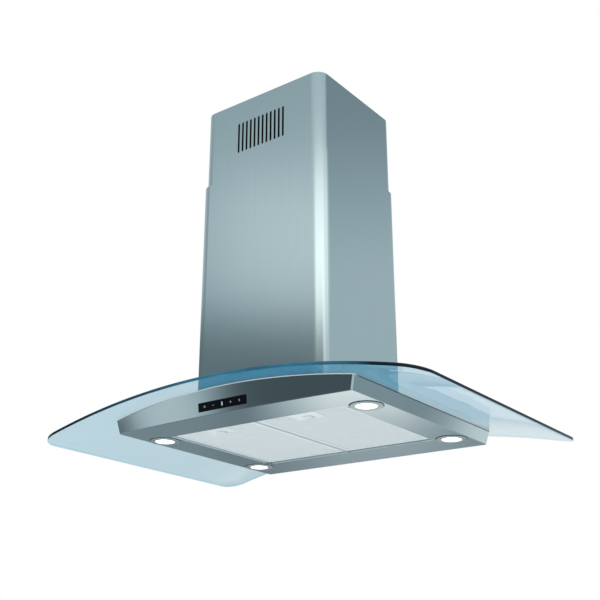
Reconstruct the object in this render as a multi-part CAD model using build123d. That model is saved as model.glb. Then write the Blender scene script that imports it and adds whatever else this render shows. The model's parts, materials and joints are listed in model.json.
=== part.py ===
from build123d import *
import math
import os

# Curved glass range hood for a kitchen island, hung from the ceiling.
# Millimetres. +Z is up and the controls face -Y. The origin is the centre of the
# ceiling plate's top face, so everything hangs at negative Z.

# ---------------------------------------------------------------- driving dimensions
BASE_Z = -737.0              # underside of the hood body, measured down from the ceiling
BODY_Y = 20.0                # centre of body and glass, behind the chimney's axis
TRAVEL = 200.0               # how far the hood can be let down
RUN_GAP = 0.05               # clearance of turning shafts and of stacked curved sheets

# Glass canopy
GLASS_W, GLASS_D, GLASS_T = 900.0, 622.0, 6.0
GLASS_SAG = 58.6             # drop of the glass from its middle to its ends
GLASS_CROWN = 51.0           # underside of the glass above the body's underside, in the middle
GLASS_BOW = 3.7              # bow of the front edge, seen from above
GLASS_CORNER_R = 40.0
CUT_W, CUT_D, CUT_R = 286.0, 242.0, 12.0
GLASS_BOLT_R = 5.0

# Clamp frame on the glass, with its bushes and screws
CLAMP_RING_W, CLAMP_RING_D, CLAMP_RING_R = 316.0, 274.0, 18.0
CLAMP_HOLE_W, CLAMP_HOLE_D, CLAMP_HOLE_R = 284.0, 240.0, 10.0
CLAMP_LOW, CLAMP_T = GLASS_T + 1.5, 2.0
SIDE_BOLT_X, SIDE_BOLT_Y, END_BOLT_Y = 150.0, 60.0, 128.5
BUSH_FLANGE_R, BUSH_NECK_R, BUSH_BORE_R = 7.0, 4.9, 2.65
GLASS_SCREW_R, GLASS_SCREW_L = 2.5, 16.0
GLASS_HEAD_R, GLASS_HEAD_H, GLASS_HEAD_EDGE = 4.8, 3.0, 1.2
CLAMP_BORE_R = 2.8

# Hood body
BODY_W, BODY_D = 560.0, 496.0
BODY_BOW = 10.5
BODY_CORNER_R = 3.0
SIDE_FLARE = 0.252           # outward lean of the walls, per millimetre of height
FRONT_FLARE = 0.131
REAR_FLARE = 0.165
SHEET = 1.2
BODY_LOFT_H = 60.0           # height to which the walls are drawn before the arch trims them
GASKET_T, GASKET_W = 1.5, 12.0

# Chimneys
LOWER_CHIM_W, LOWER_CHIM_D, LOWER_CHIM_R = 326.0, 285.0, 26.0
UPPER_CHIM_W, UPPER_CHIM_D, UPPER_CHIM_R = 318.0, 277.0, 25.0
CHIM_SHEET = 1.0
CHIM_LIFT = 0.3              # lower chimney's edge above the glass
SEAM_Z = -185.0
UPPER_CHIM_BOTTOM = -430.0
SLOT_COUNT, SLOT_PITCH = 12, 11.0
SLOT_W, SLOT_H, SLOT_Z = 5.0, 72.5, -89.75

# Ceiling plate
PLATE_W, PLATE_D, PLATE_T, PLATE_R = 280.0, 236.0, 2.5, 6.0
DUCT_HOLE_R = 80.0
ANCHOR_X, ANCHOR_Y, ANCHOR_R = 115.0, 75.0, 4.5

# Telescopic frame of steel angles
POST_T, POST_GAP = 2.0, 0.3
UPPER_POST_X, UPPER_POST_Y, UPPER_POST_LEG = 140.0, 118.0, 25.0
UPPER_POST_BOTTOM = -420.0
LOWER_POST_LEG = 23.0
LOWER_POST_TOP, LOWER_POST_BOTTOM = -160.0, -688.0
BOLT_Y = 104.0               # clamp screws and post screws, from the middle of the frame
CLAMP_Z = -400.0
CLAMP_SCREW_R, CLAMP_SCREW_L, CLAMP_HEAD_H = 3.0, 10.0, 4.0
CLAMP_POST_BORE_R, CLAMP_SLOT_W = 3.2, 7.0
NUT_R, NUT_H = 5.6, 4.5
BRACE_TOP, BRACE_H, BRACE_R = -370.0, 22.0, 4.0
CLIP_Y, CLIP_Z, CLIP_H, CLIP_W, CLIP_T = 100.0, -40.0, 18.0, 18.0, 1.5
HEAD_EDGE = 0.8

# Screws of the lower frame
M5_R, M5_BORE_R = 2.5, 2.6
POST_SCREW_ZS = (-450.0, -650.0)
POST_SCREW_L, POST_HEAD_H = 8.0, 3.0
FLANGE_SCREW_L, FLANGE_HEAD_R, FLANGE_HEAD_H = 9.0, 4.5, 2.5
FLANGE_SIDE_X, FLANGE_SIDE_Y = 126.0, 60.0
FLANGE_END_X, FLANGE_END_Y = 70.0, 104.5

# Motor box
BOX_TOP, BOX_T, BOX_R = -420.0, 1.0, 3.0
INLET_W, INLET_D, INLET_CORNER_R = 236.0, 192.0, 8.0

# Blower: the rotor turns about a line along X
ROTOR_Y, ROTOR_Z = -20.0, -560.0
SCROLL_R, SCROLL_STEP, SCROLL_T = 72.0, 8.0, 1.5
THROAT_X, THROAT_IN, CUTOFF_V = 46.0, 30.0, 80.0
THROAT_FLANGE, THROAT_FLANGE_T = 10.0, 2.0
EYE_R, EYE_LIP, EYE_LIP_H = 50.0, 4.0, 5.0
CAGE_R, CAGE_IN_R, CAGE_HALF, CAGE_RING_W = 64.0, 52.0, 42.0, 2.0
BLADES, BLADE_T, BLADE_CHORD, BLADE_TURN = 36, 1.2, 11.5, 25.0
HUB_X, HUB_DISC_T, HUB_L, HUB_R = 8.0, 2.0, 12.0, 10.0
MOTOR_R, MOTOR_BACK, MOTOR_FRONT = 38.0, -60.0, 2.0
MOTOR_WALL, MOTOR_NOSE, MOTOR_NOSE_EDGE = 2.0, 8.0, 4.0
BEARING_R, BEARING_W, BEARING_FIT = 9.0, 6.0, 0.02
SHAFT_R, SHAFT_OVERHANG = 4.0, 16.0
STATOR_BACK, STATOR_FRONT, STATOR_BORE = -50.0, -12.0, 20.0
STATOR_SLOTS, STATOR_SLOT_W, STATOR_SLOT_H = 6, 5.0, 12.0
ROTOR_AIR_GAP = 0.5
BRACKET_T, BRACKET_ARMS, ARM_HALF = 3.0, 3, 6.0
ARM_IN, ARM_FOOT, ARM_OUT = 30.0, 54.0, 62.0

# Duct collar and dampers
COLLAR_Y = 20.0
COLLAR_R, COLLAR_T, COLLAR_TOP = 75.0, 1.5, -355.0
COLLAR_FLANGE, COLLAR_FLANGE_T = 9.0, 2.0
STOP_Z, STOP_T, STOP_W = -400.0, 1.5, 6.0
DAMPER_Z, DAMPER_R, DAMPER_T = -396.5, 72.8, 1.5
DAMPER_SEAT = 0.4            # gap between a closed flap and the stop ring
DAMPER_EDGE, DAMPER_TAB = 4.0, 6.0
KNUCKLE_R, PIN_R = 3.0, 2.0
KNUCKLES = {"front": ((-62.0, -32.0), (1.0, 30.0)), "rear": ((-30.0, -1.0), (32.0, 62.0))}

# Filters
OPEN_X, OPEN_FRONT, OPEN_REAR = 210.0, -150.0, 175.0
LIP_H = 5.0
DIVIDER_LOW, DIVIDER_TOP, DIVIDER_FLANGE_T = 3.2, 10.0, 1.0
DIVIDER_WEB, DIVIDER_FLANGE = 2.6, 3.4
FILTER_IN, FILTER_OUT = 4.0, 208.5
FILTER_FRONT, FILTER_REAR = -147.0, 172.0
FILTER_LOW, FILTER_T, FILTER_RIM, FILTER_R = -733.5, 8.0, 9.0, 2.0
MESH_GAP, MESH_INSET = 0.1, 1.0
BAY_W, BAY_D, BAY_T = 60.0, 40.0, 1.0
TAB_X, TAB_W, TAB_L, TAB_LOW, TAB_T = 70.0, 16.0, 9.0, 6.2, 1.5
TONGUE_W, TONGUE_LOW, TONGUE_T, TONGUE_TIP = 24.0, -731.2, 2.0, -157.0
THUMB_W, THUMB_D, THUMB_FRONT, THUMB_PROUD = 18.0, 10.0, -119.0, 2.0
LATCH_TRAVEL, LATCH_GAP, THUMB_GAP = 7.0, 0.4, 1.0

# Lamps
LAMP_X, LAMP_FRONT, LAMP_REAR = 246.0, -130.0, 183.0
RING_R, RING_PROUD, RING_EDGE = 31.0, 2.0, 1.4
BARREL_R, BARREL_WALL, BARREL_H, BARREL_GAP = 27.0, 2.0, 12.0, 0.3
LENS_R, LENS_SINK, LENS_EDGE, LENS_GAP = 21.0, 0.4, 1.0, 0.2
SHOULDER_R, SHOULDER_Z, SHOULDER_T = 24.0, 2.0, 2.0
CUP_TOP, CUP_INSIDE_TOP, CUP_EDGE = 24.0, 21.0, 4.0
DIODE_R, DIODE_LOW, DIODE_TOP = 9.0, 15.0, 22.0

# Control strip
STRIP_X, STRIP_H = 2.0, 17.0          # middle of the strip, above the body's underside
STRIP_W, STRIP_TALL, STRIP_T = 116.0, 17.0, 4.0
STRIP_PROUD, STRIP_GAP, STRIP_EDGE = 0.6, 0.2, 0.4
KEY_XS = (-42.0, -21.0, 21.0, 42.0)   # from the middle of the strip
KEY_W, KEY_TALL, KEY_T = 15.0, 11.0, 4.5
KEY_GAP, KEY_TRAVEL, KEY_EDGE = 0.25, 1.2, 0.3
WINDOW_W, WINDOW_T, WINDOW_SINK, WINDOW_FIT = 17.0, 2.0, 0.2, 0.1
BOARD_Z, BOARD_T, BOARD_SHORT = -12.0, 1.6, 4.0
BOARD_POST_X, BOARD_POST_R = 53.0, 1.8
SWITCH_W, SWITCH_GAP = 6.0, 0.4

# Electrical parts
JBOX_DEEP, JBOX_HALF, JBOX_LOW, JBOX_HIGH = 21.0, 45.0, -640.0, -520.0
JBOX_WALL, JBOX_R = 2.0, 4.0
GLAND_BORE, GLAND_NECK_R, GLAND_NECK_GAP = 3.6, 6.0, 0.1
GLAND_HEX_R, GLAND_HEX_H = 8.5, 6.0
GLAND_DOME_R, GLAND_DOME_H, GLAND_DOME_EDGE = 6.8, 10.0, 2.0
CAP_OUT, CAP_R, CAP_LOW, CAP_HIGH, CAP_EDGE = 12.5, 11.0, -600.0, -545.0, 1.5
STRAP_T, STRAP_HALF, STRAP_LOW, STRAP_HIGH = 6.0, 14.0, -588.0, -562.0
DRIVER_HALF, DRIVER_FRONT, DRIVER_REAR, DRIVER_H = 60.0, 195.0, 240.0, 20.0
DRIVER_R, DRIVER_FOOT, DRIVER_FOOT_T = 3.0, 10.0, 2.0

# ---------------------------------------------------------------- derived values
ARCH_R = ((GLASS_W / 2) ** 2 + GLASS_SAG ** 2) / (2 * GLASS_SAG)
ARCH_TOP = BASE_Z + GLASS_CROWN
ARCH_Z = ARCH_TOP - ARCH_R
LID_TOP = -GASKET_T          # top of the lid, outside the glass's underside
LOWER_POST_X = UPPER_POST_X - POST_T - POST_GAP
LOWER_POST_Y = UPPER_POST_Y - POST_T - POST_GAP
BOX_X = LOWER_POST_X - POST_T
BOX_Y = LOWER_POST_Y - POST_T
THROAT_FRONT = ROTOR_Y + THROAT_IN
THROAT_REAR = ROTOR_Y + SCROLL_R + 3 * SCROLL_STEP
NOSE_X = MOTOR_FRONT - MOTOR_NOSE
BARREL_TOP = BASE_Z + BARREL_H
PANEL_TOP = BASE_Z + SHEET
LEAN = math.degrees(math.atan(FRONT_FLARE))
STRIP_FRONT = BODY_Y - BODY_D / 2 - BODY_BOW - FRONT_FLARE * STRIP_H
STRIP_BACK = STRIP_PROUD - STRIP_T
FILTER_MID = (FILTER_IN + FILTER_OUT) / 2
FILTER_TOP = FILTER_LOW + FILTER_T
BAY_FRONT = FILTER_FRONT + FILTER_RIM
BAY_REAR = BAY_FRONT + BAY_D
GLAND_X = -BOX_X - JBOX_DEEP / 2

# Reach of cutting shapes, past everything that they cut
ABOVE_GLASS = ARCH_TOP + 50.0
BEYOND = 200.0
FAR_OUT = 400.0

SIDES = {"left": -1, "right": 1}
ENDS = {"front": -1, "rear": 1}
CORNERS = [(sx, sy) for sx in (-1, 1) for sy in (-1, 1)]
GLASS_BOLTS = [(sx * SIDE_BOLT_X, sy * SIDE_BOLT_Y) for sx, sy in CORNERS]
GLASS_BOLTS += [(0.0, END_BOLT_Y), (0.0, -END_BOLT_Y)]
FLANGE_BOLTS = [(sx * FLANGE_SIDE_X, sy * FLANGE_SIDE_Y) for sx, sy in CORNERS]
FLANGE_BOLTS += [(sx * FLANGE_END_X, sy * FLANGE_END_Y) for sx, sy in CORNERS]
LAMP_YS = {"front": LAMP_FRONT, "rear": LAMP_REAR}
LAMP_SPOTS = {(side, end): (SIDES[side] * LAMP_X, LAMP_YS[end]) for side in SIDES for end in ENDS}

pieces = {}


# ---------------------------------------------------------------- helpers
def block(x0, x1, y0, y1, z0, z1):
    """Box between two corners."""
    middle = Pos((x0 + x1) / 2, (y0 + y1) / 2, (z0 + z1) / 2)
    return middle * Box(x1 - x0, y1 - y0, z1 - z0)


def column(width, depth, radius, z0, z1):
    """Upright block with rounded corners, centred on the chimney's axis."""
    return Pos(0, 0, z0) * extrude(RectangleRounded(width, depth, radius), z1 - z0)


def tube(width, depth, radius, wall, z0, z1):
    """Upright tube with rounded corners and an even wall."""
    inside = column(width - 2 * wall, depth - 2 * wall, radius - wall, z0, z1)
    return column(width, depth, radius, z0, z1) - inside


def round_bar(x, y, z0, z1, radius):
    """Upright cylinder."""
    return Pos(x, y, (z0 + z1) / 2) * Cylinder(radius, z1 - z0)


def drill(x, y, radius):
    """Upright bore from the body's underside to above the glass."""
    return round_bar(x, y, BASE_Z, ABOVE_GLASS, radius)


def axle(x0, x1, y, z, radius):
    """Cylinder along X."""
    return Pos((x0 + x1) / 2, y, z) * Rot(0, 90, 0) * Cylinder(radius, x1 - x0)


def cross_drill(y, z, radius):
    """Bore along X through both sides of the frame."""
    return axle(-BEYOND, BEYOND, y, z, radius)


def rotor_bar(x0, x1, radius):
    """Cylinder along the blower's axis."""
    return axle(x0, x1, ROTOR_Y, ROTOR_Z, radius)


def about_rotor(shape, angle):
    """Places a shape drawn about the X axis round the blower's axis."""
    return Pos(0, ROTOR_Y, ROTOR_Z) * Rot(angle, 0, 0) * shape


def top_edges(shape):
    """Edges of the highest face."""
    return shape.faces().sort_by(Axis.Z)[-1].edges()


def bottom_edges(shape):
    """Edges of the lowest face."""
    return shape.faces().sort_by(Axis.Z)[0].edges()


def arch_height(x, offset=0.0):
    """Z of the arched surface that lies the given distance outside the glass's underside."""
    return ARCH_Z + math.sqrt((ARCH_R + offset) ** 2 - x ** 2)


def arch_slab(low, high):
    """Slab between two arched surfaces, given by their distance from the glass's underside."""
    half = GLASS_W / 2 + 30
    upper = ThreePointArc((-half, arch_height(half, high)), (0, arch_height(0, high)),
                          (half, arch_height(half, high)))
    lower = ThreePointArc((-half, arch_height(half, low)), (0, arch_height(0, low)),
                          (half, arch_height(half, low)))
    ends = [Line(upper @ 0, lower @ 0), Line(upper @ 1, lower @ 1)]
    section = Plane.XZ * make_face([upper, lower] + ends)
    return extrude(section, FAR_OUT, both=True)


def body_outline(height, inset=0.0):
    """Outline of the hood body at a height above its underside."""
    half = BODY_W / 2 + SIDE_FLARE * height - inset
    front = BODY_Y - BODY_D / 2 - FRONT_FLARE * height + inset
    rear = BODY_Y + BODY_D / 2 + REAR_FLARE * height - inset
    bow = ThreePointArc((-half, front), (0, front - BODY_BOW), (half, front))
    sides = Polyline((half, front), (half, rear), (-half, rear), (-half, front))
    face = make_face([bow, sides])
    face = fillet(face.vertices(), BODY_CORNER_R)
    return Pos(0, 0, BASE_Z + height) * face


def body_loft(low, high, inset=0.0):
    """Solid between the body's outlines at two heights."""
    return loft([body_outline(low, inset), body_outline(high, inset)], ruled=True)


def angle_post(x, y, leg, z0, z1, sx, sy):
    """Steel angle with its outer corner at (sx x, sy y) and legs that point inwards."""
    along_x = block(x - leg, x, y - POST_T, y, z0, z1)
    along_y = block(x - POST_T, x, y - leg, y, z0, z1)
    post = along_x + along_y
    if sx < 0:
        post = mirror(post, Plane.YZ)
    if sy < 0:
        post = mirror(post, Plane.XZ)
    return post


def side_screw(sx, y, z, face, shank, head, radius):
    """Screw along X with its head on an outer face at sx times the given distance."""
    cap = axle(face, face + head, y, z, 2 * radius)
    cap = fillet(cap.faces().sort_by(Axis.X)[-1].edges(), HEAD_EDGE)
    screw = axle(face - shank, face, y, z, radius) + cap
    return on_side(screw, sx)


def on_side(shape, sx):
    """A shape drawn on the right, mirrored where sx is negative."""
    return shape if sx > 0 else mirror(shape, Plane.YZ)


# ---------------------------------------------------------------- ceiling side
def ceiling_plate():
    plate = column(PLATE_W, PLATE_D, PLATE_R, -PLATE_T, 0)
    plate -= round_bar(0, 0, -PLATE_T, 0, DUCT_HOLE_R)
    for sx, sy in CORNERS:
        plate -= round_bar(sx * ANCHOR_X, sy * ANCHOR_Y, -PLATE_T, 0, ANCHOR_R)
    return plate


def upper_posts():
    holes = [cross_drill(sy * BOLT_Y, CLAMP_Z, CLAMP_POST_BORE_R) for sy in (-1, 1)]
    posts = []
    for sx, sy in CORNERS:
        post = angle_post(UPPER_POST_X, UPPER_POST_Y, UPPER_POST_LEG, UPPER_POST_BOTTOM, -PLATE_T, sx, sy)
        posts.append(post - holes)
    return posts


def upper_braces():
    bars = []
    for sy in (-1, 1):
        low, high = sorted((sy * UPPER_POST_Y, sy * (UPPER_POST_Y + POST_T)))
        bar = block(-UPPER_POST_X, UPPER_POST_X, low, high, BRACE_TOP - BRACE_H, BRACE_TOP)
        bars.append(fillet(bar.edges().filter_by(Axis.Y), BRACE_R))
    return bars


def upper_chimney():
    shell = tube(UPPER_CHIM_W, UPPER_CHIM_D, UPPER_CHIM_R, CHIM_SHEET, UPPER_CHIM_BOTTOM, 0)
    slot = Plane.XZ * extrude(SlotOverall(SLOT_H, SLOT_W, rotation=90), UPPER_CHIM_D, both=True)
    first = -SLOT_PITCH * (SLOT_COUNT - 1) / 2
    slots = [Pos(first + SLOT_PITCH * index, 0, SLOT_Z) * slot for index in range(SLOT_COUNT)]
    return shell - slots


def hanger_clips():
    """Z-shaped clips between the upper posts and the chimney's side walls."""
    wall = UPPER_CHIM_W / 2 - CHIM_SHEET
    clips = []
    for sx, sy in CORNERS:
        y0, y1 = sy * CLIP_Y - CLIP_W / 2, sy * CLIP_Y + CLIP_W / 2
        clip = block(UPPER_POST_X, UPPER_POST_X + CLIP_T, y0, y1, CLIP_Z, CLIP_Z + CLIP_H)
        clip += block(UPPER_POST_X, wall, y0, y1, CLIP_Z, CLIP_Z + CLIP_T)
        clip += block(wall - CLIP_T, wall, y0, y1, CLIP_Z + CLIP_T - CLIP_H, CLIP_Z + CLIP_T)
        clips.append(on_side(clip, sx))
    return clips


def clamp_screws():
    return [side_screw(sx, sy * BOLT_Y, CLAMP_Z, UPPER_POST_X, CLAMP_SCREW_L, CLAMP_HEAD_H, CLAMP_SCREW_R)
            for sx, sy in CORNERS]


def clamp_nuts():
    face = BOX_X - POST_GAP
    nuts = []
    for sx, sy in CORNERS:
        nut = Pos(face, sy * BOLT_Y, CLAMP_Z) * Rot(0, -90, 0) * extrude(RegularPolygon(NUT_R, 6), NUT_H)
        nut -= cross_drill(sy * BOLT_Y, CLAMP_Z, CLAMP_SCREW_R + RUN_GAP)
        nuts.append(on_side(nut, sx))
    return nuts


pieces["ceiling_plate"] = ceiling_plate()
pieces["upper_posts"] = upper_posts()
pieces["upper_braces"] = upper_braces()
pieces["upper_chimney"] = upper_chimney()
pieces["hanger_clips"] = hanger_clips()
pieces["clamp_screws"] = clamp_screws()
pieces["clamp_nuts"] = clamp_nuts()


# ---------------------------------------------------------------- glass and its fixing
def glass_canopy():
    front, rear = BODY_Y - GLASS_D / 2, BODY_Y + GLASS_D / 2
    half = GLASS_W / 2
    bow = ThreePointArc((-half, front), (0, front - GLASS_BOW), (half, front))
    sides = Polyline((half, front), (half, rear), (-half, rear), (-half, front))
    outline = make_face([bow, sides])
    outline = fillet(outline.vertices(), GLASS_CORNER_R)
    blank = Pos(0, 0, BASE_Z - GLASS_SAG) * extrude(outline, 2 * GLASS_SAG + GLASS_CROWN)
    sheet = arch_slab(0, GLASS_T) & blank
    sheet -= column(CUT_W, CUT_D, CUT_R, BASE_Z, ABOVE_GLASS)
    for x, y in GLASS_BOLTS:
        sheet -= drill(x, y, GLASS_BOLT_R)
    return sheet


def clamp_frame():
    ring = column(CLAMP_RING_W, CLAMP_RING_D, CLAMP_RING_R, BASE_Z, ABOVE_GLASS)
    ring -= column(CLAMP_HOLE_W, CLAMP_HOLE_D, CLAMP_HOLE_R, BASE_Z, ABOVE_GLASS)
    ring &= arch_slab(CLAMP_LOW, CLAMP_LOW + CLAMP_T)
    for x, y in GLASS_BOLTS:
        ring -= drill(x, y, CLAMP_BORE_R)
    return ring


def glass_grommets():
    """Rubber bushes: a neck through the glass and a flange on each face."""
    low, high = LID_TOP + RUN_GAP, CLAMP_LOW - RUN_GAP
    flanges = [arch_slab(low, -RUN_GAP), arch_slab(GLASS_T + RUN_GAP, high)]
    neck = arch_slab(low, high)
    bushes = []
    for x, y in GLASS_BOLTS:
        bush = drill(x, y, BUSH_NECK_R) & neck
        for flange in flanges:
            bush += drill(x, y, BUSH_FLANGE_R) & flange
        bushes.append(bush - drill(x, y, BUSH_BORE_R))
    return bushes


def glass_screws():
    screws = []
    for x, y in GLASS_BOLTS:
        seat = arch_height(max(abs(x) - GLASS_HEAD_R, 0), CLAMP_LOW + CLAMP_T) + RUN_GAP
        head = round_bar(x, y, seat, seat + GLASS_HEAD_H, GLASS_HEAD_R)
        head = fillet(top_edges(head), GLASS_HEAD_EDGE)
        screws.append(head + round_bar(x, y, seat - GLASS_SCREW_L, seat, GLASS_SCREW_R))
    return screws


def glass_gasket():
    ring = body_loft(0, BODY_LOFT_H) - body_loft(0, BODY_LOFT_H, GASKET_W)
    return ring & arch_slab(LID_TOP + RUN_GAP, -RUN_GAP)


pieces["glass_canopy"] = glass_canopy()
pieces["glass_clamp_frame"] = clamp_frame()
pieces["glass_grommets"] = glass_grommets()
pieces["glass_screws"] = glass_screws()
pieces["glass_gasket"] = glass_gasket()


# ---------------------------------------------------------------- hood body
def on_strip(shape):
    """Places a shape drawn flat, facing +Z, on the leaning front of the body."""
    lean = math.radians(LEAN)
    plane = Plane(origin=(STRIP_X, STRIP_FRONT, BASE_Z + STRIP_H), x_dir=(1, 0, 0),
                  z_dir=(0, -math.cos(lean), -math.sin(lean)))
    return plane * shape


def body_shell():
    walls = body_loft(SHEET, BODY_LOFT_H) - body_loft(0, BODY_LOFT_H + 1, SHEET)
    walls -= arch_slab(LID_TOP, BEYOND)
    return walls - on_strip(Box(STRIP_W + 2 * STRIP_GAP, STRIP_TALL + 2 * STRIP_GAP, 5 * STRIP_T))


def top_lid():
    lid = body_loft(0, BODY_LOFT_H, SHEET + RUN_GAP) & arch_slab(LID_TOP - SHEET, LID_TOP)
    lid -= column(INLET_W, INLET_D, INLET_CORNER_R, BASE_Z, ABOVE_GLASS)
    for x, y in GLASS_BOLTS + FLANGE_BOLTS:
        lid -= drill(x, y, M5_BORE_R)
    return lid


def bottom_panel():
    """Flat underside with a folded lip round the filter opening."""
    panel = extrude(body_outline(0), SHEET)
    panel += block(-OPEN_X - SHEET, OPEN_X + SHEET, OPEN_FRONT - SHEET, OPEN_REAR + SHEET,
                   BASE_Z, BASE_Z + LIP_H)
    panel -= block(-OPEN_X, OPEN_X, OPEN_FRONT, OPEN_REAR, BASE_Z - 1, BASE_Z + LIP_H + 1)
    for x, y in LAMP_SPOTS.values():
        panel -= round_bar(x, y, BASE_Z - 1, BASE_Z + LIP_H, BARREL_R + BARREL_GAP)
    return panel


def filter_divider():
    low = BASE_Z + DIVIDER_LOW
    web = block(-DIVIDER_WEB, DIVIDER_WEB, OPEN_FRONT, OPEN_REAR, low, BASE_Z + DIVIDER_TOP)
    return web + block(-DIVIDER_FLANGE, DIVIDER_FLANGE, OPEN_FRONT, OPEN_REAR, low, low + DIVIDER_FLANGE_T)


pieces["body_shell"] = body_shell()
pieces["top_lid"] = top_lid()
pieces["bottom_panel"] = bottom_panel()
pieces["filter_divider"] = filter_divider()


# ---------------------------------------------------------------- lower frame and motor box
def lower_posts():
    """Posts with a long slot each, in which the clamp screws slide as the height is set."""
    slot_mid = CLAMP_Z + TRAVEL / 2
    slot = SlotOverall(TRAVEL + 10, CLAMP_SLOT_W, rotation=90)
    cutter = Plane.YZ * extrude(slot, BEYOND, both=True)
    cuts = [Pos(0, sy * BOLT_Y, slot_mid) * cutter for sy in (-1, 1)]
    cuts += [cross_drill(sy * BOLT_Y, z, M5_BORE_R) for sy in (-1, 1) for z in POST_SCREW_ZS]
    return [angle_post(LOWER_POST_X, LOWER_POST_Y, LOWER_POST_LEG, LOWER_POST_BOTTOM, LOWER_POST_TOP, sx, sy)
            - cuts for sx, sy in CORNERS]


def motor_box():
    """Sheet box that stands on the lid with a folded flange round the air inlet."""
    low = LID_TOP + RUN_GAP
    box = column(2 * BOX_X, 2 * BOX_Y, BOX_R, BASE_Z, BOX_TOP)
    box -= column(2 * (BOX_X - BOX_T), 2 * (BOX_Y - BOX_T), BOX_R - BOX_T, BASE_Z, BOX_TOP - BOX_T)
    box -= arch_slab(-FAR_OUT, low)
    flange = column(2 * BOX_X, 2 * BOX_Y, BOX_R, BASE_Z, ABOVE_GLASS)
    flange -= column(INLET_W, INLET_D, INLET_CORNER_R, BASE_Z, ABOVE_GLASS)
    box += flange & arch_slab(low, low + SHEET)
    box -= block(-THROAT_X, THROAT_X, THROAT_FRONT, THROAT_REAR, BOX_TOP - 2 * BOX_T, BOX_TOP)
    for x, y in FLANGE_BOLTS:
        box -= drill(x, y, M5_BORE_R)
    for sy in (-1, 1):
        for z in POST_SCREW_ZS:
            box -= cross_drill(sy * BOLT_Y, z, M5_BORE_R)
    return box


def flange_screw(x, y):
    """Screw that holds the motor box's flange on the lid."""
    seat = arch_height(abs(x) - FLANGE_HEAD_R, LID_TOP + RUN_GAP + SHEET) + RUN_GAP
    head = round_bar(x, y, seat, seat + FLANGE_HEAD_H, FLANGE_HEAD_R)
    return head + round_bar(x, y, seat - FLANGE_SCREW_L, seat, M5_R)


def chassis_screws():
    screws = [flange_screw(x, y) for x, y in FLANGE_BOLTS]
    for sx, sy in CORNERS:
        for z in POST_SCREW_ZS:
            screws.append(side_screw(sx, sy * BOLT_Y, z, LOWER_POST_X, POST_SCREW_L, POST_HEAD_H, M5_R))
    return screws


pieces["lower_posts"] = lower_posts()
pieces["motor_box"] = motor_box()
pieces["chassis_screws"] = chassis_screws()


# ---------------------------------------------------------------- blower
def scroll_section(grow, top):
    """Section of the scroll across the rotor's axis: a spiral of three quarter turns and a throat."""
    r, s = SCROLL_R + grow, SCROLL_STEP
    diagonal = math.sqrt(0.5)
    first = ThreePointArc((0, r), (-r * diagonal, r * diagonal), (-r, 0))
    second = ThreePointArc((-r, 0), (s - (r + s) * diagonal, -(r + s) * diagonal), (s, -r - s))
    third = ThreePointArc((s, -r - s), (s + (r + 2 * s) * diagonal, s - (r + 2 * s) * diagonal),
                          (r + 3 * s, s))
    throat = Polyline((r + 3 * s, s), (r + 3 * s, top), (THROAT_IN - grow, top),
                      (THROAT_IN - grow, CUTOFF_V), (0, r))
    return make_face([first, second, third, throat])


def along_rotor(section, x0, x1):
    """Extrudes a section drawn in Y and Z about the rotor's axis from x0 to x1."""
    plane = Plane(origin=(x0, ROTOR_Y, ROTOR_Z), x_dir=(0, 1, 0), z_dir=(1, 0, 0))
    return extrude(plane * section, x1 - x0)


def scroll_housing():
    """Scroll with its motor-side wall and the flange under the motor box's top."""
    ceiling = BOX_TOP - BOX_T
    top = ceiling - ROTOR_Z
    body = along_rotor(scroll_section(SCROLL_T, top), -THROAT_X - SCROLL_T, THROAT_X)
    body += block(-THROAT_X - THROAT_FLANGE, THROAT_X + THROAT_FLANGE, THROAT_FRONT - THROAT_FLANGE + 2,
                  THROAT_REAR + THROAT_FLANGE - 2, ceiling - THROAT_FLANGE_T, ceiling)
    body -= along_rotor(scroll_section(0, top), -THROAT_X, THROAT_X)
    return body - rotor_bar(-THROAT_X - 2 * SCROLL_T, -THROAT_X, EYE_R)


def scroll_cover():
    """Side wall on the open end, with the rolled lip of the air eye."""
    top = BOX_TOP - BOX_T - THROAT_FLANGE_T - ROTOR_Z
    cover = along_rotor(scroll_section(SCROLL_T, top), THROAT_X, THROAT_X + SCROLL_T)
    cover += rotor_bar(THROAT_X, THROAT_X + EYE_LIP_H, EYE_R + EYE_LIP)
    return cover - rotor_bar(THROAT_X, THROAT_X + EYE_LIP_H, EYE_R)


def impeller():
    """Drum of forward-curved blades between two rings, on a hub disc."""
    ring = rotor_bar(-CAGE_HALF, CAGE_HALF, CAGE_R) - rotor_bar(-CAGE_HALF, CAGE_HALF, CAGE_IN_R)
    drum = ring - rotor_bar(-CAGE_HALF + CAGE_RING_W, CAGE_HALF - CAGE_RING_W, CAGE_R)
    drum += rotor_bar(HUB_X, HUB_X + HUB_DISC_T, CAGE_R - 2) + rotor_bar(HUB_X, HUB_X + HUB_L, HUB_R)
    length = 2 * CAGE_HALF - CAGE_RING_W
    blade = Pos(0, 0, (CAGE_R + CAGE_IN_R) / 2) * Rot(BLADE_TURN, 0, 0) * Box(length, BLADE_T, BLADE_CHORD)
    drum += [about_rotor(blade, 360 * turn / BLADES) for turn in range(BLADES)]
    return drum - rotor_bar(HUB_X, HUB_X + HUB_L, SHAFT_R)


def motor_housing():
    can = rotor_bar(MOTOR_BACK, MOTOR_FRONT, MOTOR_R)
    can = fillet(can.faces().sort_by(Axis.X)[-1].edges(), MOTOR_NOSE_EDGE)
    can -= rotor_bar(MOTOR_BACK, NOSE_X, MOTOR_R - MOTOR_WALL)
    can -= rotor_bar(NOSE_X, NOSE_X + BEARING_W, BEARING_R)
    return can - rotor_bar(NOSE_X, MOTOR_FRONT, SHAFT_R + 1)


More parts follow.
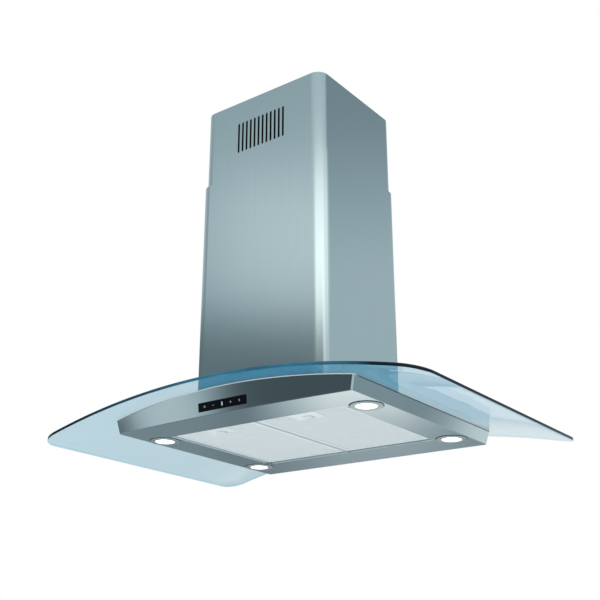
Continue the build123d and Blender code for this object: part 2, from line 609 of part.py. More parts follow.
def stator_core():
    core = rotor_bar(STATOR_BACK, STATOR_FRONT, MOTOR_R - MOTOR_WALL)
    core -= rotor_bar(STATOR_BACK, STATOR_FRONT, STATOR_BORE)
    length = STATOR_FRONT - STATOR_BACK
    slot = Box(length + 2, STATOR_SLOT_W, STATOR_SLOT_H)
    slot = Pos((STATOR_BACK + STATOR_FRONT) / 2, 0, STATOR_BORE + STATOR_SLOT_H / 3) * slot
    return core - [about_rotor(slot, 360 * turn / STATOR_SLOTS) for turn in range(STATOR_SLOTS)]


def motor_bearings():
    rings = []
    for x in (MOTOR_BACK + 2, NOSE_X):
        ring = rotor_bar(x, x + BEARING_W, BEARING_R - BEARING_FIT)
        rings.append(ring - rotor_bar(x, x + BEARING_W, SHAFT_R + RUN_GAP))
    return rings


def motor_bracket():
    """End plate with three arms that carry the motor on the scroll's side wall."""
    plate_x = MOTOR_BACK - BRACKET_T
    wall_x = -THROAT_X - SCROLL_T
    bracket = rotor_bar(plate_x, MOTOR_BACK, MOTOR_R)
    bracket += rotor_bar(plate_x, MOTOR_BACK + MOTOR_NOSE, BEARING_R + 4)
    arm = block(plate_x, MOTOR_BACK, -ARM_HALF, ARM_HALF, ARM_IN, ARM_OUT)
    arm += block(plate_x, wall_x, -ARM_HALF, ARM_HALF, ARM_FOOT, ARM_OUT)
    for turn in range(BRACKET_ARMS):
        bracket += about_rotor(arm, 360 * turn / BRACKET_ARMS)
    return bracket - rotor_bar(MOTOR_BACK, MOTOR_BACK + MOTOR_NOSE, BEARING_R)


def rotor_shaft():
    shaft = rotor_bar(MOTOR_BACK + 1, HUB_X + SHAFT_OVERHANG, SHAFT_R)
    return shaft + rotor_bar(STATOR_BACK, STATOR_FRONT, STATOR_BORE - ROTOR_AIR_GAP)


pieces["scroll_housing"] = scroll_housing()
pieces["scroll_cover"] = scroll_cover()
pieces["impeller"] = impeller()
pieces["motor_housing"] = motor_housing()
pieces["stator_core"] = stator_core()
pieces["motor_bearings"] = motor_bearings()
pieces["motor_bracket"] = motor_bracket()
pieces["rotor_shaft"] = rotor_shaft()


# ---------------------------------------------------------------- duct collar and dampers
def collar_disc(z0, z1, radius):
    """Upright cylinder about the collar's axis."""
    return round_bar(0, COLLAR_Y, z0, z1, radius)


def outlet_collar():
    collar = collar_disc(BOX_TOP, BOX_TOP + COLLAR_FLANGE_T, COLLAR_R + COLLAR_FLANGE)
    collar += collar_disc(BOX_TOP, COLLAR_TOP, COLLAR_R)
    collar -= collar_disc(BOX_TOP, COLLAR_TOP, COLLAR_R - COLLAR_T)
    stop = collar_disc(STOP_Z - STOP_T, STOP_Z, COLLAR_R - COLLAR_T / 3)
    return collar + (stop - collar_disc(STOP_Z - STOP_T, STOP_Z, COLLAR_R - STOP_W))


def damper_pin():
    half = COLLAR_R - COLLAR_T - 2 * RUN_GAP
    return axle(-half, half, COLLAR_Y, DAMPER_Z, PIN_R)


def damper_flap(end):
    """Half-round flap with two knuckles about the damper pin."""
    sign = ENDS[end]
    low = STOP_Z + DAMPER_SEAT
    high = low + DAMPER_T
    half_plane = block(-DAMPER_R, DAMPER_R, DAMPER_EDGE, DAMPER_R, low, high)
    plate = round_bar(0, 0, low, high, DAMPER_R) & half_plane
    if sign < 0:
        plate = mirror(plate, Plane.XZ)
    y0, y1 = sorted((0.0, sign * DAMPER_TAB))
    for x0, x1 in KNUCKLES[end]:
        plate += block(x0, x1, y0, y1, low, high) + axle(x0, x1, 0, DAMPER_Z, KNUCKLE_R)
    plate -= axle(-DAMPER_R, DAMPER_R, 0, DAMPER_Z, PIN_R + RUN_GAP)
    return Pos(0, COLLAR_Y, 0) * plate


pieces["outlet_collar"] = outlet_collar()
pieces["damper_pin"] = damper_pin()
for end in ENDS:
    pieces[f"damper_flap_{end}"] = damper_flap(end)


# ---------------------------------------------------------------- electrical parts
def junction_box():
    """Deep lid that closes against the motor box's side."""
    outer = -BOX_X - JBOX_DEEP
    inner = JBOX_HALF - JBOX_WALL
    shell = block(outer, -BOX_X, -JBOX_HALF, JBOX_HALF, JBOX_LOW, JBOX_HIGH)
    shell = fillet(shell.edges().filter_by(Axis.X), JBOX_R)
    shell -= block(outer + JBOX_WALL, -BOX_X, -inner, inner, JBOX_LOW + JBOX_WALL, JBOX_HIGH - JBOX_WALL)
    return shell - round_bar(GLAND_X, 0, JBOX_HIGH - JBOX_WALL, JBOX_HIGH, GLAND_NECK_R + GLAND_NECK_GAP)


def cable_gland():
    hex_top = JBOX_HIGH + GLAND_HEX_H
    dome_top = hex_top + GLAND_DOME_H
    gland = round_bar(GLAND_X, 0, JBOX_HIGH - JBOX_WALL, JBOX_HIGH, GLAND_NECK_R)
    gland += Pos(GLAND_X, 0, JBOX_HIGH) * extrude(RegularPolygon(GLAND_HEX_R, 6), GLAND_HEX_H)
    dome = round_bar(GLAND_X, 0, hex_top, dome_top, GLAND_DOME_R)
    gland += fillet(top_edges(dome), GLAND_DOME_EDGE)
    return gland - round_bar(GLAND_X, 0, JBOX_HIGH - JBOX_WALL, dome_top, GLAND_BORE)


def capacitor():
    can = round_bar(BOX_X + CAP_OUT, 0, CAP_LOW, CAP_HIGH, CAP_R)
    can = fillet(can.edges(), CAP_EDGE)
    return can + block(BOX_X, BOX_X + STRAP_T, -STRAP_HALF, STRAP_HALF, STRAP_LOW, STRAP_HIGH)


def lamp_driver():
    case = block(-DRIVER_HALF, DRIVER_HALF, DRIVER_FRONT, DRIVER_REAR, PANEL_TOP, PANEL_TOP + DRIVER_H)
    case = fillet(case.edges().filter_by(Axis.Z), DRIVER_R)
    foot = DRIVER_HALF + DRIVER_FOOT
    return case + block(-foot, foot, DRIVER_FRONT + DRIVER_FOOT, DRIVER_REAR - DRIVER_FOOT,
                        PANEL_TOP, PANEL_TOP + DRIVER_FOOT_T)


pieces["junction_box"] = junction_box()
pieces["cable_gland"] = cable_gland()
pieces["capacitor"] = capacitor()
pieces["lamp_driver"] = lamp_driver()


# ---------------------------------------------------------------- lamps
def lamp_ring(x, y):
    """Trim ring with the barrel that goes up through the panel."""
    low = BASE_Z - RING_PROUD
    shoulder = BASE_Z + SHOULDER_Z
    flange = round_bar(x, y, low, BASE_Z, RING_R)
    flange = fillet(bottom_edges(flange), RING_EDGE)
    ring = flange + round_bar(x, y, BASE_Z, BARREL_TOP, BARREL_R)
    ring -= round_bar(x, y, low, shoulder, LENS_R + LENS_GAP)
    return ring - round_bar(x, y, shoulder - MESH_GAP, BARREL_TOP, BARREL_R - BARREL_WALL)


def lamp_lens(x, y):
    """Frosted lens that stands in the ring and rests on its shoulder."""
    shoulder = BASE_Z + SHOULDER_Z
    dome = round_bar(x, y, BASE_Z - RING_PROUD + LENS_SINK, shoulder, LENS_R)
    dome = fillet(bottom_edges(dome), LENS_EDGE)
    return dome + round_bar(x, y, shoulder, shoulder + SHOULDER_T, SHOULDER_R)


def lamp_housings():
    """Cups that close the barrels, each with its light source."""
    cups = []
    for x, y in LAMP_SPOTS.values():
        cup = round_bar(x, y, BARREL_TOP + BEARING_FIT, BASE_Z + CUP_TOP, BARREL_R)
        cup = fillet(top_edges(cup), CUP_EDGE)
        cup -= round_bar(x, y, BARREL_TOP, BASE_Z + CUP_INSIDE_TOP, BARREL_R - BARREL_WALL)
        cups.append(cup + round_bar(x, y, BASE_Z + DIODE_LOW, BASE_Z + DIODE_TOP, DIODE_R))
    return cups


for (side, end), (x, y) in LAMP_SPOTS.items():
    pieces[f"lamp_ring_{end}_{side}"] = lamp_ring(x, y)
    pieces[f"lamp_lens_{end}_{side}"] = lamp_lens(x, y)
pieces["lamp_housings"] = lamp_housings()


# ---------------------------------------------------------------- control strip
def control_bezel():
    bezel = Pos(0, 0, STRIP_PROUD - STRIP_T / 2) * Box(STRIP_W, STRIP_TALL, STRIP_T)
    bezel = fillet(top_edges(bezel), STRIP_EDGE)
    for x in KEY_XS:
        bezel -= Pos(x, 0, 0) * Box(KEY_W, KEY_TALL, 5 * STRIP_T)
    return on_strip(bezel - Box(WINDOW_W, KEY_TALL, 5 * STRIP_T))


def display_window():
    window = Box(WINDOW_W - WINDOW_FIT, KEY_TALL - WINDOW_FIT, WINDOW_T)
    return on_strip(Pos(0, 0, STRIP_PROUD - WINDOW_SINK - WINDOW_T / 2) * window)


def push_key(x):
    """Cap that stands level with the strip and travels inwards."""
    cap = Pos(x, 0, STRIP_PROUD - KEY_T / 2) * Box(KEY_W - 2 * KEY_GAP, KEY_TALL - 2 * KEY_GAP, KEY_T)
    return on_strip(fillet(top_edges(cap), KEY_EDGE))


def control_board():
    """Circuit board on two posts behind the strip."""
    board = Pos(0, 0, BOARD_Z) * Box(STRIP_W - BOARD_SHORT, STRIP_TALL, BOARD_T)
    low, high = BOARD_Z + BOARD_T / 2, STRIP_BACK
    posts = [Pos(x, 0, (low + high) / 2) * Cylinder(BOARD_POST_R, high - low)
             for x in (-BOARD_POST_X, BOARD_POST_X)]
    return on_strip(board + posts)


def key_switches():
    low = BOARD_Z + BOARD_T / 2
    high = STRIP_PROUD - KEY_T - KEY_TRAVEL - SWITCH_GAP
    return [on_strip(Pos(x, 0, (low + high) / 2) * Box(SWITCH_W, SWITCH_W, high - low)) for x in KEY_XS]


pieces["control_bezel"] = control_bezel()
pieces["display_window"] = display_window()
pieces["control_board"] = control_board()
pieces["key_switches"] = key_switches()
for number, x in enumerate(KEY_XS, start=1):
    pieces[f"push_key_{number}"] = push_key(x)


# ---------------------------------------------------------------- grease filters, drawn on the right
def filter_frame():
    """Rim with a latch bay at the front and two hanging tabs at the rear."""
    outer = block(FILTER_IN, FILTER_OUT, FILTER_FRONT, FILTER_REAR, FILTER_LOW, FILTER_TOP)
    outer = fillet(outer.edges().filter_by(Axis.Z), FILTER_R)
    outer -= block(FILTER_IN + FILTER_RIM, FILTER_OUT - FILTER_RIM, BAY_FRONT, FILTER_REAR - FILTER_RIM,
                   FILTER_LOW, FILTER_TOP)
    frame = outer + latch_bay()
    half = TONGUE_W / 2 + LATCH_GAP
    frame -= block(FILTER_MID - half, FILTER_MID + half, FILTER_FRONT - 1, BAY_FRONT + LATCH_GAP,
                   TONGUE_LOW - LATCH_GAP, TONGUE_LOW + TONGUE_T + LATCH_GAP)
    for x in (FILTER_MID - TAB_X, FILTER_MID + TAB_X):
        frame += block(x - TAB_W / 2, x + TAB_W / 2, FILTER_REAR - 1, FILTER_REAR + TAB_L,
                       BASE_Z + TAB_LOW, BASE_Z + TAB_LOW + TAB_T)
    return frame


def latch_bay():
    """Open tray for the latch, with a slot in its floor for the thumb piece."""
    x0, x1 = FILTER_MID - BAY_W / 2, FILTER_MID + BAY_W / 2
    bay = block(x0, x1, BAY_FRONT - BAY_T, BAY_REAR, FILTER_LOW, FILTER_TOP)
    bay -= block(x0 + BAY_T, x1 - BAY_T, BAY_FRONT, BAY_REAR - BAY_T, FILTER_LOW + BAY_T, FILTER_TOP)
    half = THUMB_W / 2 + THUMB_GAP
    return bay - block(FILTER_MID - half, FILTER_MID + half, THUMB_FRONT - THUMB_GAP,
                       THUMB_FRONT + THUMB_D + LATCH_TRAVEL + THUMB_GAP, FILTER_LOW, FILTER_LOW + BAY_T)


def filter_mesh():
    """Pad that fills the rim and leaves room for the latch bay."""
    rim = FILTER_RIM + MESH_GAP
    pad = block(FILTER_IN + rim, FILTER_OUT - rim, FILTER_FRONT + rim, FILTER_REAR - rim,
                FILTER_LOW + MESH_INSET, FILTER_TOP - MESH_INSET)
    half = BAY_W / 2 + MESH_GAP
    return pad - block(FILTER_MID - half, FILTER_MID + half, FILTER_FRONT, BAY_REAR + MESH_GAP,
                       FILTER_LOW, FILTER_TOP)


def filter_latch():
    """Tongue that lies over the front lip, with a thumb piece below the filter."""
    thumb_rear = THUMB_FRONT + THUMB_D
    tongue = block(FILTER_MID - TONGUE_W / 2, FILTER_MID + TONGUE_W / 2, TONGUE_TIP, thumb_rear,
                   TONGUE_LOW, TONGUE_LOW + TONGUE_T)
    thumb = block(FILTER_MID - THUMB_W / 2, FILTER_MID + THUMB_W / 2, THUMB_FRONT, thumb_rear,
                  FILTER_LOW - THUMB_PROUD, TONGUE_LOW)
    return tongue + fillet(bottom_edges(thumb), THUMB_PROUD / 2)


for side, sx in SIDES.items():
    pieces[f"filter_frame_{side}"] = on_side(filter_frame(), sx)
    pieces[f"filter_mesh_{side}"] = on_side(filter_mesh(), sx)
    pieces[f"filter_latch_{side}"] = on_side(filter_latch(), sx)


# ---------------------------------------------------------------- lower chimney
def lower_chimney():
    """Sleeve whose lower end follows the glass."""
    sleeve = tube(LOWER_CHIM_W, LOWER_CHIM_D, LOWER_CHIM_R, CHIM_SHEET, BASE_Z, SEAM_Z)
    return sleeve - arch_slab(-FAR_OUT, GLASS_T + CHIM_LIFT)


pieces["lower_chimney"] = lower_chimney()

# ---------------------------------------------------------------- output
os.makedirs("parts", exist_ok=True)
for name, piece in pieces.items():
    solid = Compound(children=list(piece)) if isinstance(piece, list) else piece
    export_step(solid, f"parts/{name}.step")
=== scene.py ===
"""Looks of a curved glass range hood: its finishes, detailed pieces, studio and camera."""
import json
import logging
import math
from dataclasses import dataclass, field
from enum import Enum
from functools import reduce
from typing import Any, Optional, Sequence

import bmesh
import bpy
from mathutils import Matrix, Vector


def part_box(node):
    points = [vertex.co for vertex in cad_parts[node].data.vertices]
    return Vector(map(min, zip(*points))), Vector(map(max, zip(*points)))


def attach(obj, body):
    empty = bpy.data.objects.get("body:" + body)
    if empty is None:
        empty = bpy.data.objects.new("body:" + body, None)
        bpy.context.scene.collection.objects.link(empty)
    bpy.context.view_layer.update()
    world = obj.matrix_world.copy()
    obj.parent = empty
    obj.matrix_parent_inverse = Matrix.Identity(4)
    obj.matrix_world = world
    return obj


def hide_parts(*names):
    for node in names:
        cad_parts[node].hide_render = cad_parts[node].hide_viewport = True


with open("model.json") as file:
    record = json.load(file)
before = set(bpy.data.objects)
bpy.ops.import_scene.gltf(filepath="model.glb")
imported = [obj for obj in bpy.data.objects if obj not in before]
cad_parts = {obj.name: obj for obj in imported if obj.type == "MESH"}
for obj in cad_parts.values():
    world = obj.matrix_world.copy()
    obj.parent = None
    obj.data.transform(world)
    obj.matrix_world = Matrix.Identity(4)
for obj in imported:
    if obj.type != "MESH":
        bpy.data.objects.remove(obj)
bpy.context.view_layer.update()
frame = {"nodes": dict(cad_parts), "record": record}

LOG = logging.getLogger("range_hood")

Colour = tuple[float, float, float]
Point = tuple[float, float, float]
Pair = tuple[float, float]
Shape = bmesh.types.BMesh
Material = bpy.types.Material

# Metres within which points meet or lie on a plane.
WELD = 1e-6
ON_PLANE = 1e-7
SHARP_ABOVE = math.radians(35.0)
# Usual range of a noise, and the detail and roughness of a rough one.
NOISE_SPAN: Pair = (0.3, 0.7)
ROUGH_NOISE: Pair = (3.0, 0.6)


# ---- shader building
class Wire:
    """An output socket of a node, with arithmetic that adds Math nodes."""

    def __init__(self, recipe: "Recipe", socket: Optional[bpy.types.NodeSocket]) -> None:
        """Keeps the socket and the recipe that it belongs to."""
        self.recipe = recipe
        self.socket = socket

    def beside(self, output: str) -> "Wire":
        """Another output of the same node."""
        return Wire(self.recipe, self.socket.node.outputs[output])

    def _maths(self, operation: str, *values: Any) -> "Wire":
        """Adds a Math node.

        Args:
            operation: The node's operation.
            values: Numbers or wires, in the order of its sockets.

        Returns:
            The node's result.
        """
        return self.recipe.node("ShaderNodeMath", {"operation": operation},
                                dict(enumerate(values)))

    def __add__(self, other: Any) -> "Wire":
        """Sum."""
        return self._maths("ADD", self, other)

    def __sub__(self, other: Any) -> "Wire":
        """Difference."""
        return self._maths("SUBTRACT", self, other)

    def __rsub__(self, other: Any) -> "Wire":
        """Difference, from the right."""
        return self._maths("SUBTRACT", other, self)

    def __mul__(self, other: Any) -> "Wire":
        """Product."""
        return self._maths("MULTIPLY", self, other)

    def __pow__(self, other: Any) -> "Wire":
        """Power."""
        return self._maths("POWER", self, other)

    def size(self) -> "Wire":
        """Value without its sign."""
        return self._maths("ABSOLUTE", self)

    def degrees(self, ahead: "Wire") -> "Wire":
        """Angle in degrees whose sideways part is this value and whose forward part is ahead."""
        return self._maths("ARCTAN2", self, ahead) * math.degrees(1.0)


class Recipe:
    """A node tree of a material or world while it is put together."""

    def __init__(self, owner: Any) -> None:
        """Takes over the owner's node tree and empties it.

        Args:
            owner: The material or world.
        """
        owner.use_nodes = True
        self.owner = owner
        self.tree = owner.node_tree
        self.tree.nodes.clear()

    def node(self, kind: str, settings: Optional[dict[str, Any]] = None,
             inputs: Optional[dict[Any, Any]] = None, output: Any = 0) -> Wire:
        """Adds a node.

        Args:
            kind: The node's type.
            settings: Properties of the node, set first.
            inputs: Values or wires by socket name or number.
            output: Name or number of the output that is returned.

        Returns:
            The chosen output.
        """
        made = self.tree.nodes.new(kind)
        for name, value in (settings or {}).items():
            setattr(made, name, value)
        for name, value in (inputs or {}).items():
            if isinstance(value, Wire):
                self.tree.links.new(value.socket, made.inputs[name])
            else:
                made.inputs[name].default_value = value
        return Wire(self, made.outputs[output] if made.outputs else None)

    def place(self) -> Wire:
        """Object coordinates, in metres."""
        return self.node("ShaderNodeTexCoord", output="Object")

    def axes(self) -> tuple[Wire, Wire, Wire]:
        """X, Y and Z of the object coordinates."""
        x = self.node("ShaderNodeSeparateXYZ", inputs={"Vector": self.place()})
        return x, x.beside("Y"), x.beside("Z")

    def stretched(self, vector: Wire, scale: Sequence[float]) -> Wire:
        """Vector scaled along each axis."""
        return self.node("ShaderNodeMapping", inputs={"Vector": vector, "Scale": scale})

    def noise(self, vector: Wire, scale: float, detail: float = 2.0, rough: float = 0.5) -> Wire:
        """Noise value between 0 and 1.

        Args:
            vector: Place that it is read at.
            scale: Features per metre of the vector.
            detail: Octaves.
            rough: Strength of the finer octaves.

        Returns:
            The noise.
        """
        return self.node("ShaderNodeTexNoise", inputs={
            "Vector": vector, "Scale": scale, "Detail": detail, "Roughness": rough})

    def blend(self, wires: Sequence[Wire], weights: Sequence[float]) -> Wire:
        """Weighted sum of wires."""
        return reduce(Wire.__add__, (wire * weight for wire, weight in zip(wires, weights)))

    def spread(self, factor: Wire, low: float, high: float, at: Pair = (0.0, 1.0)) -> Wire:
        """Moves a factor from one range to another.

        Args:
            factor: The value.
            low: Result at the start of the range.
            high: Result at its end.
            at: Range of the factor.

        Returns:
            The moved value.
        """
        return self.node("ShaderNodeMapRange", inputs={
            "Value": factor, "From Min": at[0], "From Max": at[1], "To Min": low, "To Max": high})

    def mixed(self, factor: Wire, first: Any, second: Any) -> Wire:
        """Colour between two others.

        Args:
            factor: Share of the second colour.
            first: Colour or wire.
            second: Colour or wire.

        Returns:
            The mixed colour.
        """
        ends = [(*end, 1.0) if isinstance(end, tuple) else end for end in (first, second)]
        return self.node("ShaderNodeMix", {"data_type": "RGBA"},
                         {0: factor, 6: ends[0], 7: ends[1]}, 2)

    def shades(self, factor: Wire, tone: Colour, dark: float, pale: float = 1.0) -> Wire:
        """Colour between two strengths of a tone.

        Args:
            factor: Share of the paler one.
            tone: The tone.
            dark: Strength of the darker one.
            pale: Strength of the paler one.

        Returns:
            The mixed colour.
        """
        low, high = (tuple(channel * strength for channel in tone) for strength in (dark, pale))
        return self.mixed(factor, low, high)

    def bump(self, height: Wire, distance: float) -> Wire:
        """Surface normal disturbed by a height in units of the distance."""
        return self.node("ShaderNodeBump", inputs={
            "Height": height, "Distance": distance, "Strength": 1.0})

    def principled(self, inputs: dict[str, Any]) -> Wire:
        """Principled surface with the given sockets."""
        return self.node("ShaderNodeBsdfPrincipled", inputs=inputs)

    def clear(self, tint: Colour) -> Wire:
        """See-through surface with a tint."""
        return self.node("ShaderNodeBsdfTransparent", inputs={"Color": (*tint, 1.0)})

    def either(self, share: Wire, first: Wire, second: Wire) -> Wire:
        """Shader between two others, by the share of the second."""
        return self.node("ShaderNodeMixShader", inputs={0: share, 1: first, 2: second})

    def behind(self) -> Wire:
        """1 on the back of a face and 0 on its front."""
        return self.node("ShaderNodeNewGeometry", output="Backfacing")

    def finish(self, surface: Wire) -> Any:
        """Links the surface to the output.

        Args:
            surface: The shader.

        Returns:
            The material or world.
        """
        world = isinstance(self.owner, bpy.types.World)
        self.node("ShaderNodeOutputWorld" if world else "ShaderNodeOutputMaterial",
                  inputs={"Surface": surface})
        return self.owner


def recipe_for(name: str) -> Recipe:
    """Recipe of a new material."""
    return Recipe(bpy.data.materials.new(name))


# ---- finishes
class Grain(Enum):
    """Direction of the brushed grain, as scales that stretch a pattern along it."""

    UPRIGHT = (1.0, 1.0, 0.012)
    ACROSS = (0.012, 1.0, 1.0)


@dataclass(frozen=True)
class BrushedSteel:
    """Stainless sheet: fine grain, slow cloudiness and slight smudges."""

    name: str
    tone: Colour = (0.50, 0.62, 0.65)
    grain: Grain = Grain.UPRIGHT
    roughness: float = 0.17
    swing: Pair = (-0.012, 0.012)
    contrast: float = 0.025
    fine: float = 1400.0
    coarse: float = 210.0
    cloud: float = 5.0
    shade_mix: tuple[float, float, float] = (0.6, 0.2, 0.2)
    shade_span: Pair = (0.36, 0.64)
    gloss_mix: Pair = (0.5, 0.5)
    gloss_span: Pair = (0.35, 0.65)
    relief: float = 0.000003

    def make(self) -> Material:
        """Builds the node tree.

        Returns:
            The material.
        """
        mix = recipe_for(self.name)
        place = mix.place()
        along = mix.stretched(place, self.grain.value)
        fine = mix.noise(along, self.fine, *ROUGH_NOISE)
        coarse = mix.noise(along, self.coarse)
        cloud = mix.noise(place, self.cloud)
        shade = mix.blend((fine, coarse, cloud), self.shade_mix)
        shade = mix.spread(shade, 0.0, 1.0, self.shade_span)
        smooth, rough = (self.roughness + change for change in self.swing)
        gloss = mix.spread(mix.blend((fine, cloud), self.gloss_mix), smooth, rough, self.gloss_span)
        return mix.finish(mix.principled({
            "Base Color": mix.shades(shade, self.tone, 1 - self.contrast, 1 + self.contrast),
            "Metallic": 1.0, "Roughness": gloss, "Normal": mix.bump(fine, self.relief)}))


@dataclass(frozen=True)
class ZincSteel:
    """Galvanised sheet with its spangle."""

    name: str
    tone: Colour = (0.38, 0.45, 0.47)
    crystal: float = 110.0
    wander: float = 60.0
    shade_mix: Pair = (0.7, 0.3)
    dark: float = 0.78
    pale: float = 1.12
    roughness: Pair = (0.34, 0.5)
    relief: float = 0.0001

    def make(self) -> Material:
        """Builds the node tree.

        Returns:
            The material.
        """
        mix = recipe_for(self.name)
        place = mix.place()
        wander = mix.noise(place, self.wander)
        crystal = mix.node("ShaderNodeTexVoronoi",
                           inputs={"Vector": place, "Scale": self.crystal}, output="Color")
        flake = mix.node("ShaderNodeSeparateColor", inputs={"Color": crystal})
        shade = mix.blend((flake, wander), self.shade_mix)
        return mix.finish(mix.principled({
            "Base Color": mix.shades(shade, self.tone, self.dark, self.pale), "Metallic": 1.0,
            "Roughness": mix.spread(shade, *self.roughness),
            "Normal": mix.bump(wander, self.relief)}))


@dataclass(frozen=True)
class Moulding:
    """Moulded plastic or rubber: fine spark-eroded pits and slow cloudiness.

    pit_noise is a detail and roughness, cloud_noise a scale and detail.
    """

    name: str
    tone: Colour
    roughness: float = 0.45
    pits: float = 1600.0
    relief: float = 0.00004
    gloss: float = 0.5
    metallic: float = 0.0
    pit_noise: Pair = (2.0, 0.5)
    cloud_noise: Pair = (25.0, 3.0)
    shade_mix: Pair = (0.3, 0.7)
    dark: float = 0.8
    swing: Pair = (-0.05, 0.08)

    def make(self) -> Material:
        """Builds the node tree.

        Returns:
            The material.
        """
        mix = recipe_for(self.name)
        place = mix.place()
        pits = mix.noise(place, self.pits, *self.pit_noise)
        shade = mix.blend((pits, mix.noise(place, *self.cloud_noise)), self.shade_mix)
        smooth, rough = (self.roughness + change for change in self.swing)
        return mix.finish(mix.principled({
            "Base Color": mix.shades(shade, self.tone, self.dark), "Metallic": self.metallic,
            "Roughness": mix.spread(pits, smooth, rough, NOISE_SPAN),
            "Specular IOR Level": self.gloss, "Normal": mix.bump(pits, self.relief)}))


@dataclass(frozen=True)
class CastMetal(Moulding):
    """Plain metal with faint marks: plated, turned or pressed."""

    roughness: float = 0.25
    pits: float = 300.0
    relief: float = 0.00003
    metallic: float = 1.0
    pit_noise: Pair = ROUGH_NOISE
    cloud_noise: Pair = (40.0, 2.0)
    shade_mix: Pair = (0.5, 0.5)
    dark: float = 0.88
    swing: Pair = (-0.06, 0.08)


@dataclass(frozen=True)
class SealStrip:
    """Seal under the glass: a painted lit white bead in front, dimmer to the left, painted shade
    elsewhere.
    """

    name: str
    # white is the seal's tone where it is painted as lit; dark is the painted shade over the rest.
    white: Colour = (0.60, 0.65, 0.67)
    dark: Colour = (0.02, 0.045, 0.055)
    # front: where the lit bead ends; lit_end and faint: painted dimming of the bead towards the
    # left.
    front: Pair = (-0.226, -0.216)
    lit_end: Pair = (-0.20, -0.08)
    faint: float = 0.35
    pores: float = 1500.0
    roughness: Pair = (0.5, 0.65)
    gloss: float = 0.2
    relief: float = 0.00003

    def make(self) -> Material:
        """Builds the node tree.

        Returns:
            The material.
        """
        mix = recipe_for(self.name)
        pores = mix.noise(mix.place(), self.pores)
        across, along, _ = mix.axes()
        # Painted light: share of the lit white, 1 along the front and lower to the left; 0 gives
        # the painted shade.
        painted_light_share = (mix.spread(along, 1.0, 0.0, self.front)
                 * mix.spread(across, self.faint, 1.0, self.lit_end))
        return mix.finish(mix.principled({
            "Base Color": mix.mixed(painted_light_share, self.dark, self.white),
            "Roughness": mix.spread(pores, *self.roughness),
            "Specular IOR Level": self.gloss, "Normal": mix.bump(pores, self.relief)}))


@dataclass(frozen=True)
class ClearPane:
    """Tinted glass: clear face on, with a bluish veil and a mirror gloss that grow at a slant."""

    name: str
    tint: Colour = (0.93, 0.963, 0.921)
    veil: Colour = (0.0, 0.31, 0.61)
    facing_share: float = 0.05
    slant_share: float = 0.28
    edge_on_share: float = 0.15
    turn: Pair = (0.1, 0.62)
    edge_on: Pair = (0.76, 0.83)
    cloud: float = 9.0
    cloud_octaves: float = 3.0
    contrast: float = 0.05
    roughness: Pair = (0.02, 0.05)

    def make(self) -> Material:
        """Builds the node tree.

        Returns:
            The material.
        """
        mix = recipe_for(self.name)
        cloud = mix.noise(mix.place(), self.cloud, self.cloud_octaves)
        facing = mix.node("ShaderNodeLayerWeight", inputs={"Blend": 0.5}, output="Facing")
        share = (mix.spread(facing, self.facing_share, self.slant_share, self.turn)
                 + mix.spread(facing, 0.0, self.edge_on_share, self.edge_on))
        gloss = mix.principled({
            "Base Color": mix.shades(cloud, self.veil, 1 - self.contrast, 1 + self.contrast),
            "Roughness": mix.spread(cloud, *self.roughness)})
        return mix.finish(mix.either(share, mix.clear(self.tint), gloss))


@dataclass(frozen=True)
class PaneEdge:
    """Polished edge of the glass: dark from outside, with painted light paler in streaks along its
    middle, and clear from within the sheet.
    """

    name: str
    deep: Colour = (0.004, 0.013, 0.022)
    # light: painted light, the paler colour where the edge is shown lit by the glass behind it.
    light: Colour = (0.035, 0.16, 0.25)
    tint: Colour = (0.62, 0.76, 0.82)
    rise: Pair = (-0.34, 0.04)
    fall: Pair = (0.28, 0.36)
    streaks: float = 9.0
    streak_stretch: Point = (1.0, 1.0, 0.2)
    streak_shares: Pair = (0.5, 1.0)
    streak_span: Pair = (0.35, 0.6)
    roughness: Pair = (0.05, 0.12)
    gloss: float = 0.12

    def make(self) -> Material:
        """Builds the node tree.

        Returns:
            The material.
        """
        mix = recipe_for(self.name)
        streaks = mix.noise(mix.stretched(mix.place(), self.streak_stretch), self.streaks)
        across = mix.axes()[0]
        # Painted light: the paler colour is mixed in along the middle of X and broken up by
        # streaks.
        middle = mix.spread(across, 0.0, 1.0, self.rise) * mix.spread(across, 1.0, 0.0, self.fall)
        share = middle * mix.spread(streaks, *self.streak_shares, self.streak_span)
        polish = mix.principled({
            "Base Color": mix.mixed(share, self.deep, self.light),
            "Roughness": mix.spread(streaks, *self.roughness), "Specular IOR Level": self.gloss})
        return mix.finish(mix.either(mix.behind(), polish, mix.clear(self.tint)))


@dataclass(frozen=True)
class GlowingLens:
    """Lamp lens of frosted glass, lit from behind, with a dim fringe round the lit disc."""

    name: str
    tone: Colour = (0.86, 0.9, 0.92)
    strength: float = 2.2
    half_x: float = 0.246
    middle_y: float = 0.0265
    half_y: float = 0.1565
    lit: Pair = (0.0165, 0.0200)
    hot: tuple[Colour, Colour] = ((0.92, 0.97, 1.0), (1.0, 1.0, 1.0))
    fringe: Colour = (0.16, 0.20, 0.21)
    frost: float = 900.0
    dark: float = 0.95
    roughness: Pair = (0.12, 0.2)
    relief: float = 0.00005

    def make(self) -> Material:
        """Builds the node tree.

        Returns:
            The material.
        """
        mix = recipe_for(self.name)
        frost = mix.noise(mix.place(), self.frost)
        x, y, _ = mix.axes()
        beside = x.size() - self.half_x
        along = (y - self.middle_y).size() - self.half_y
        away = (beside * beside + along * along) ** 0.5
        glow = mix.mixed(mix.spread(away, 0.0, 1.0, self.lit), mix.mixed(frost, *self.hot),
                         self.fringe)
        return mix.finish(mix.principled({
            "Base Color": mix.shades(frost, self.tone, self.dark),
            "Roughness": mix.spread(frost, *self.roughness), "Emission Color": glow,
            "Emission Strength": self.strength, "Normal": mix.bump(frost, self.relief)}))


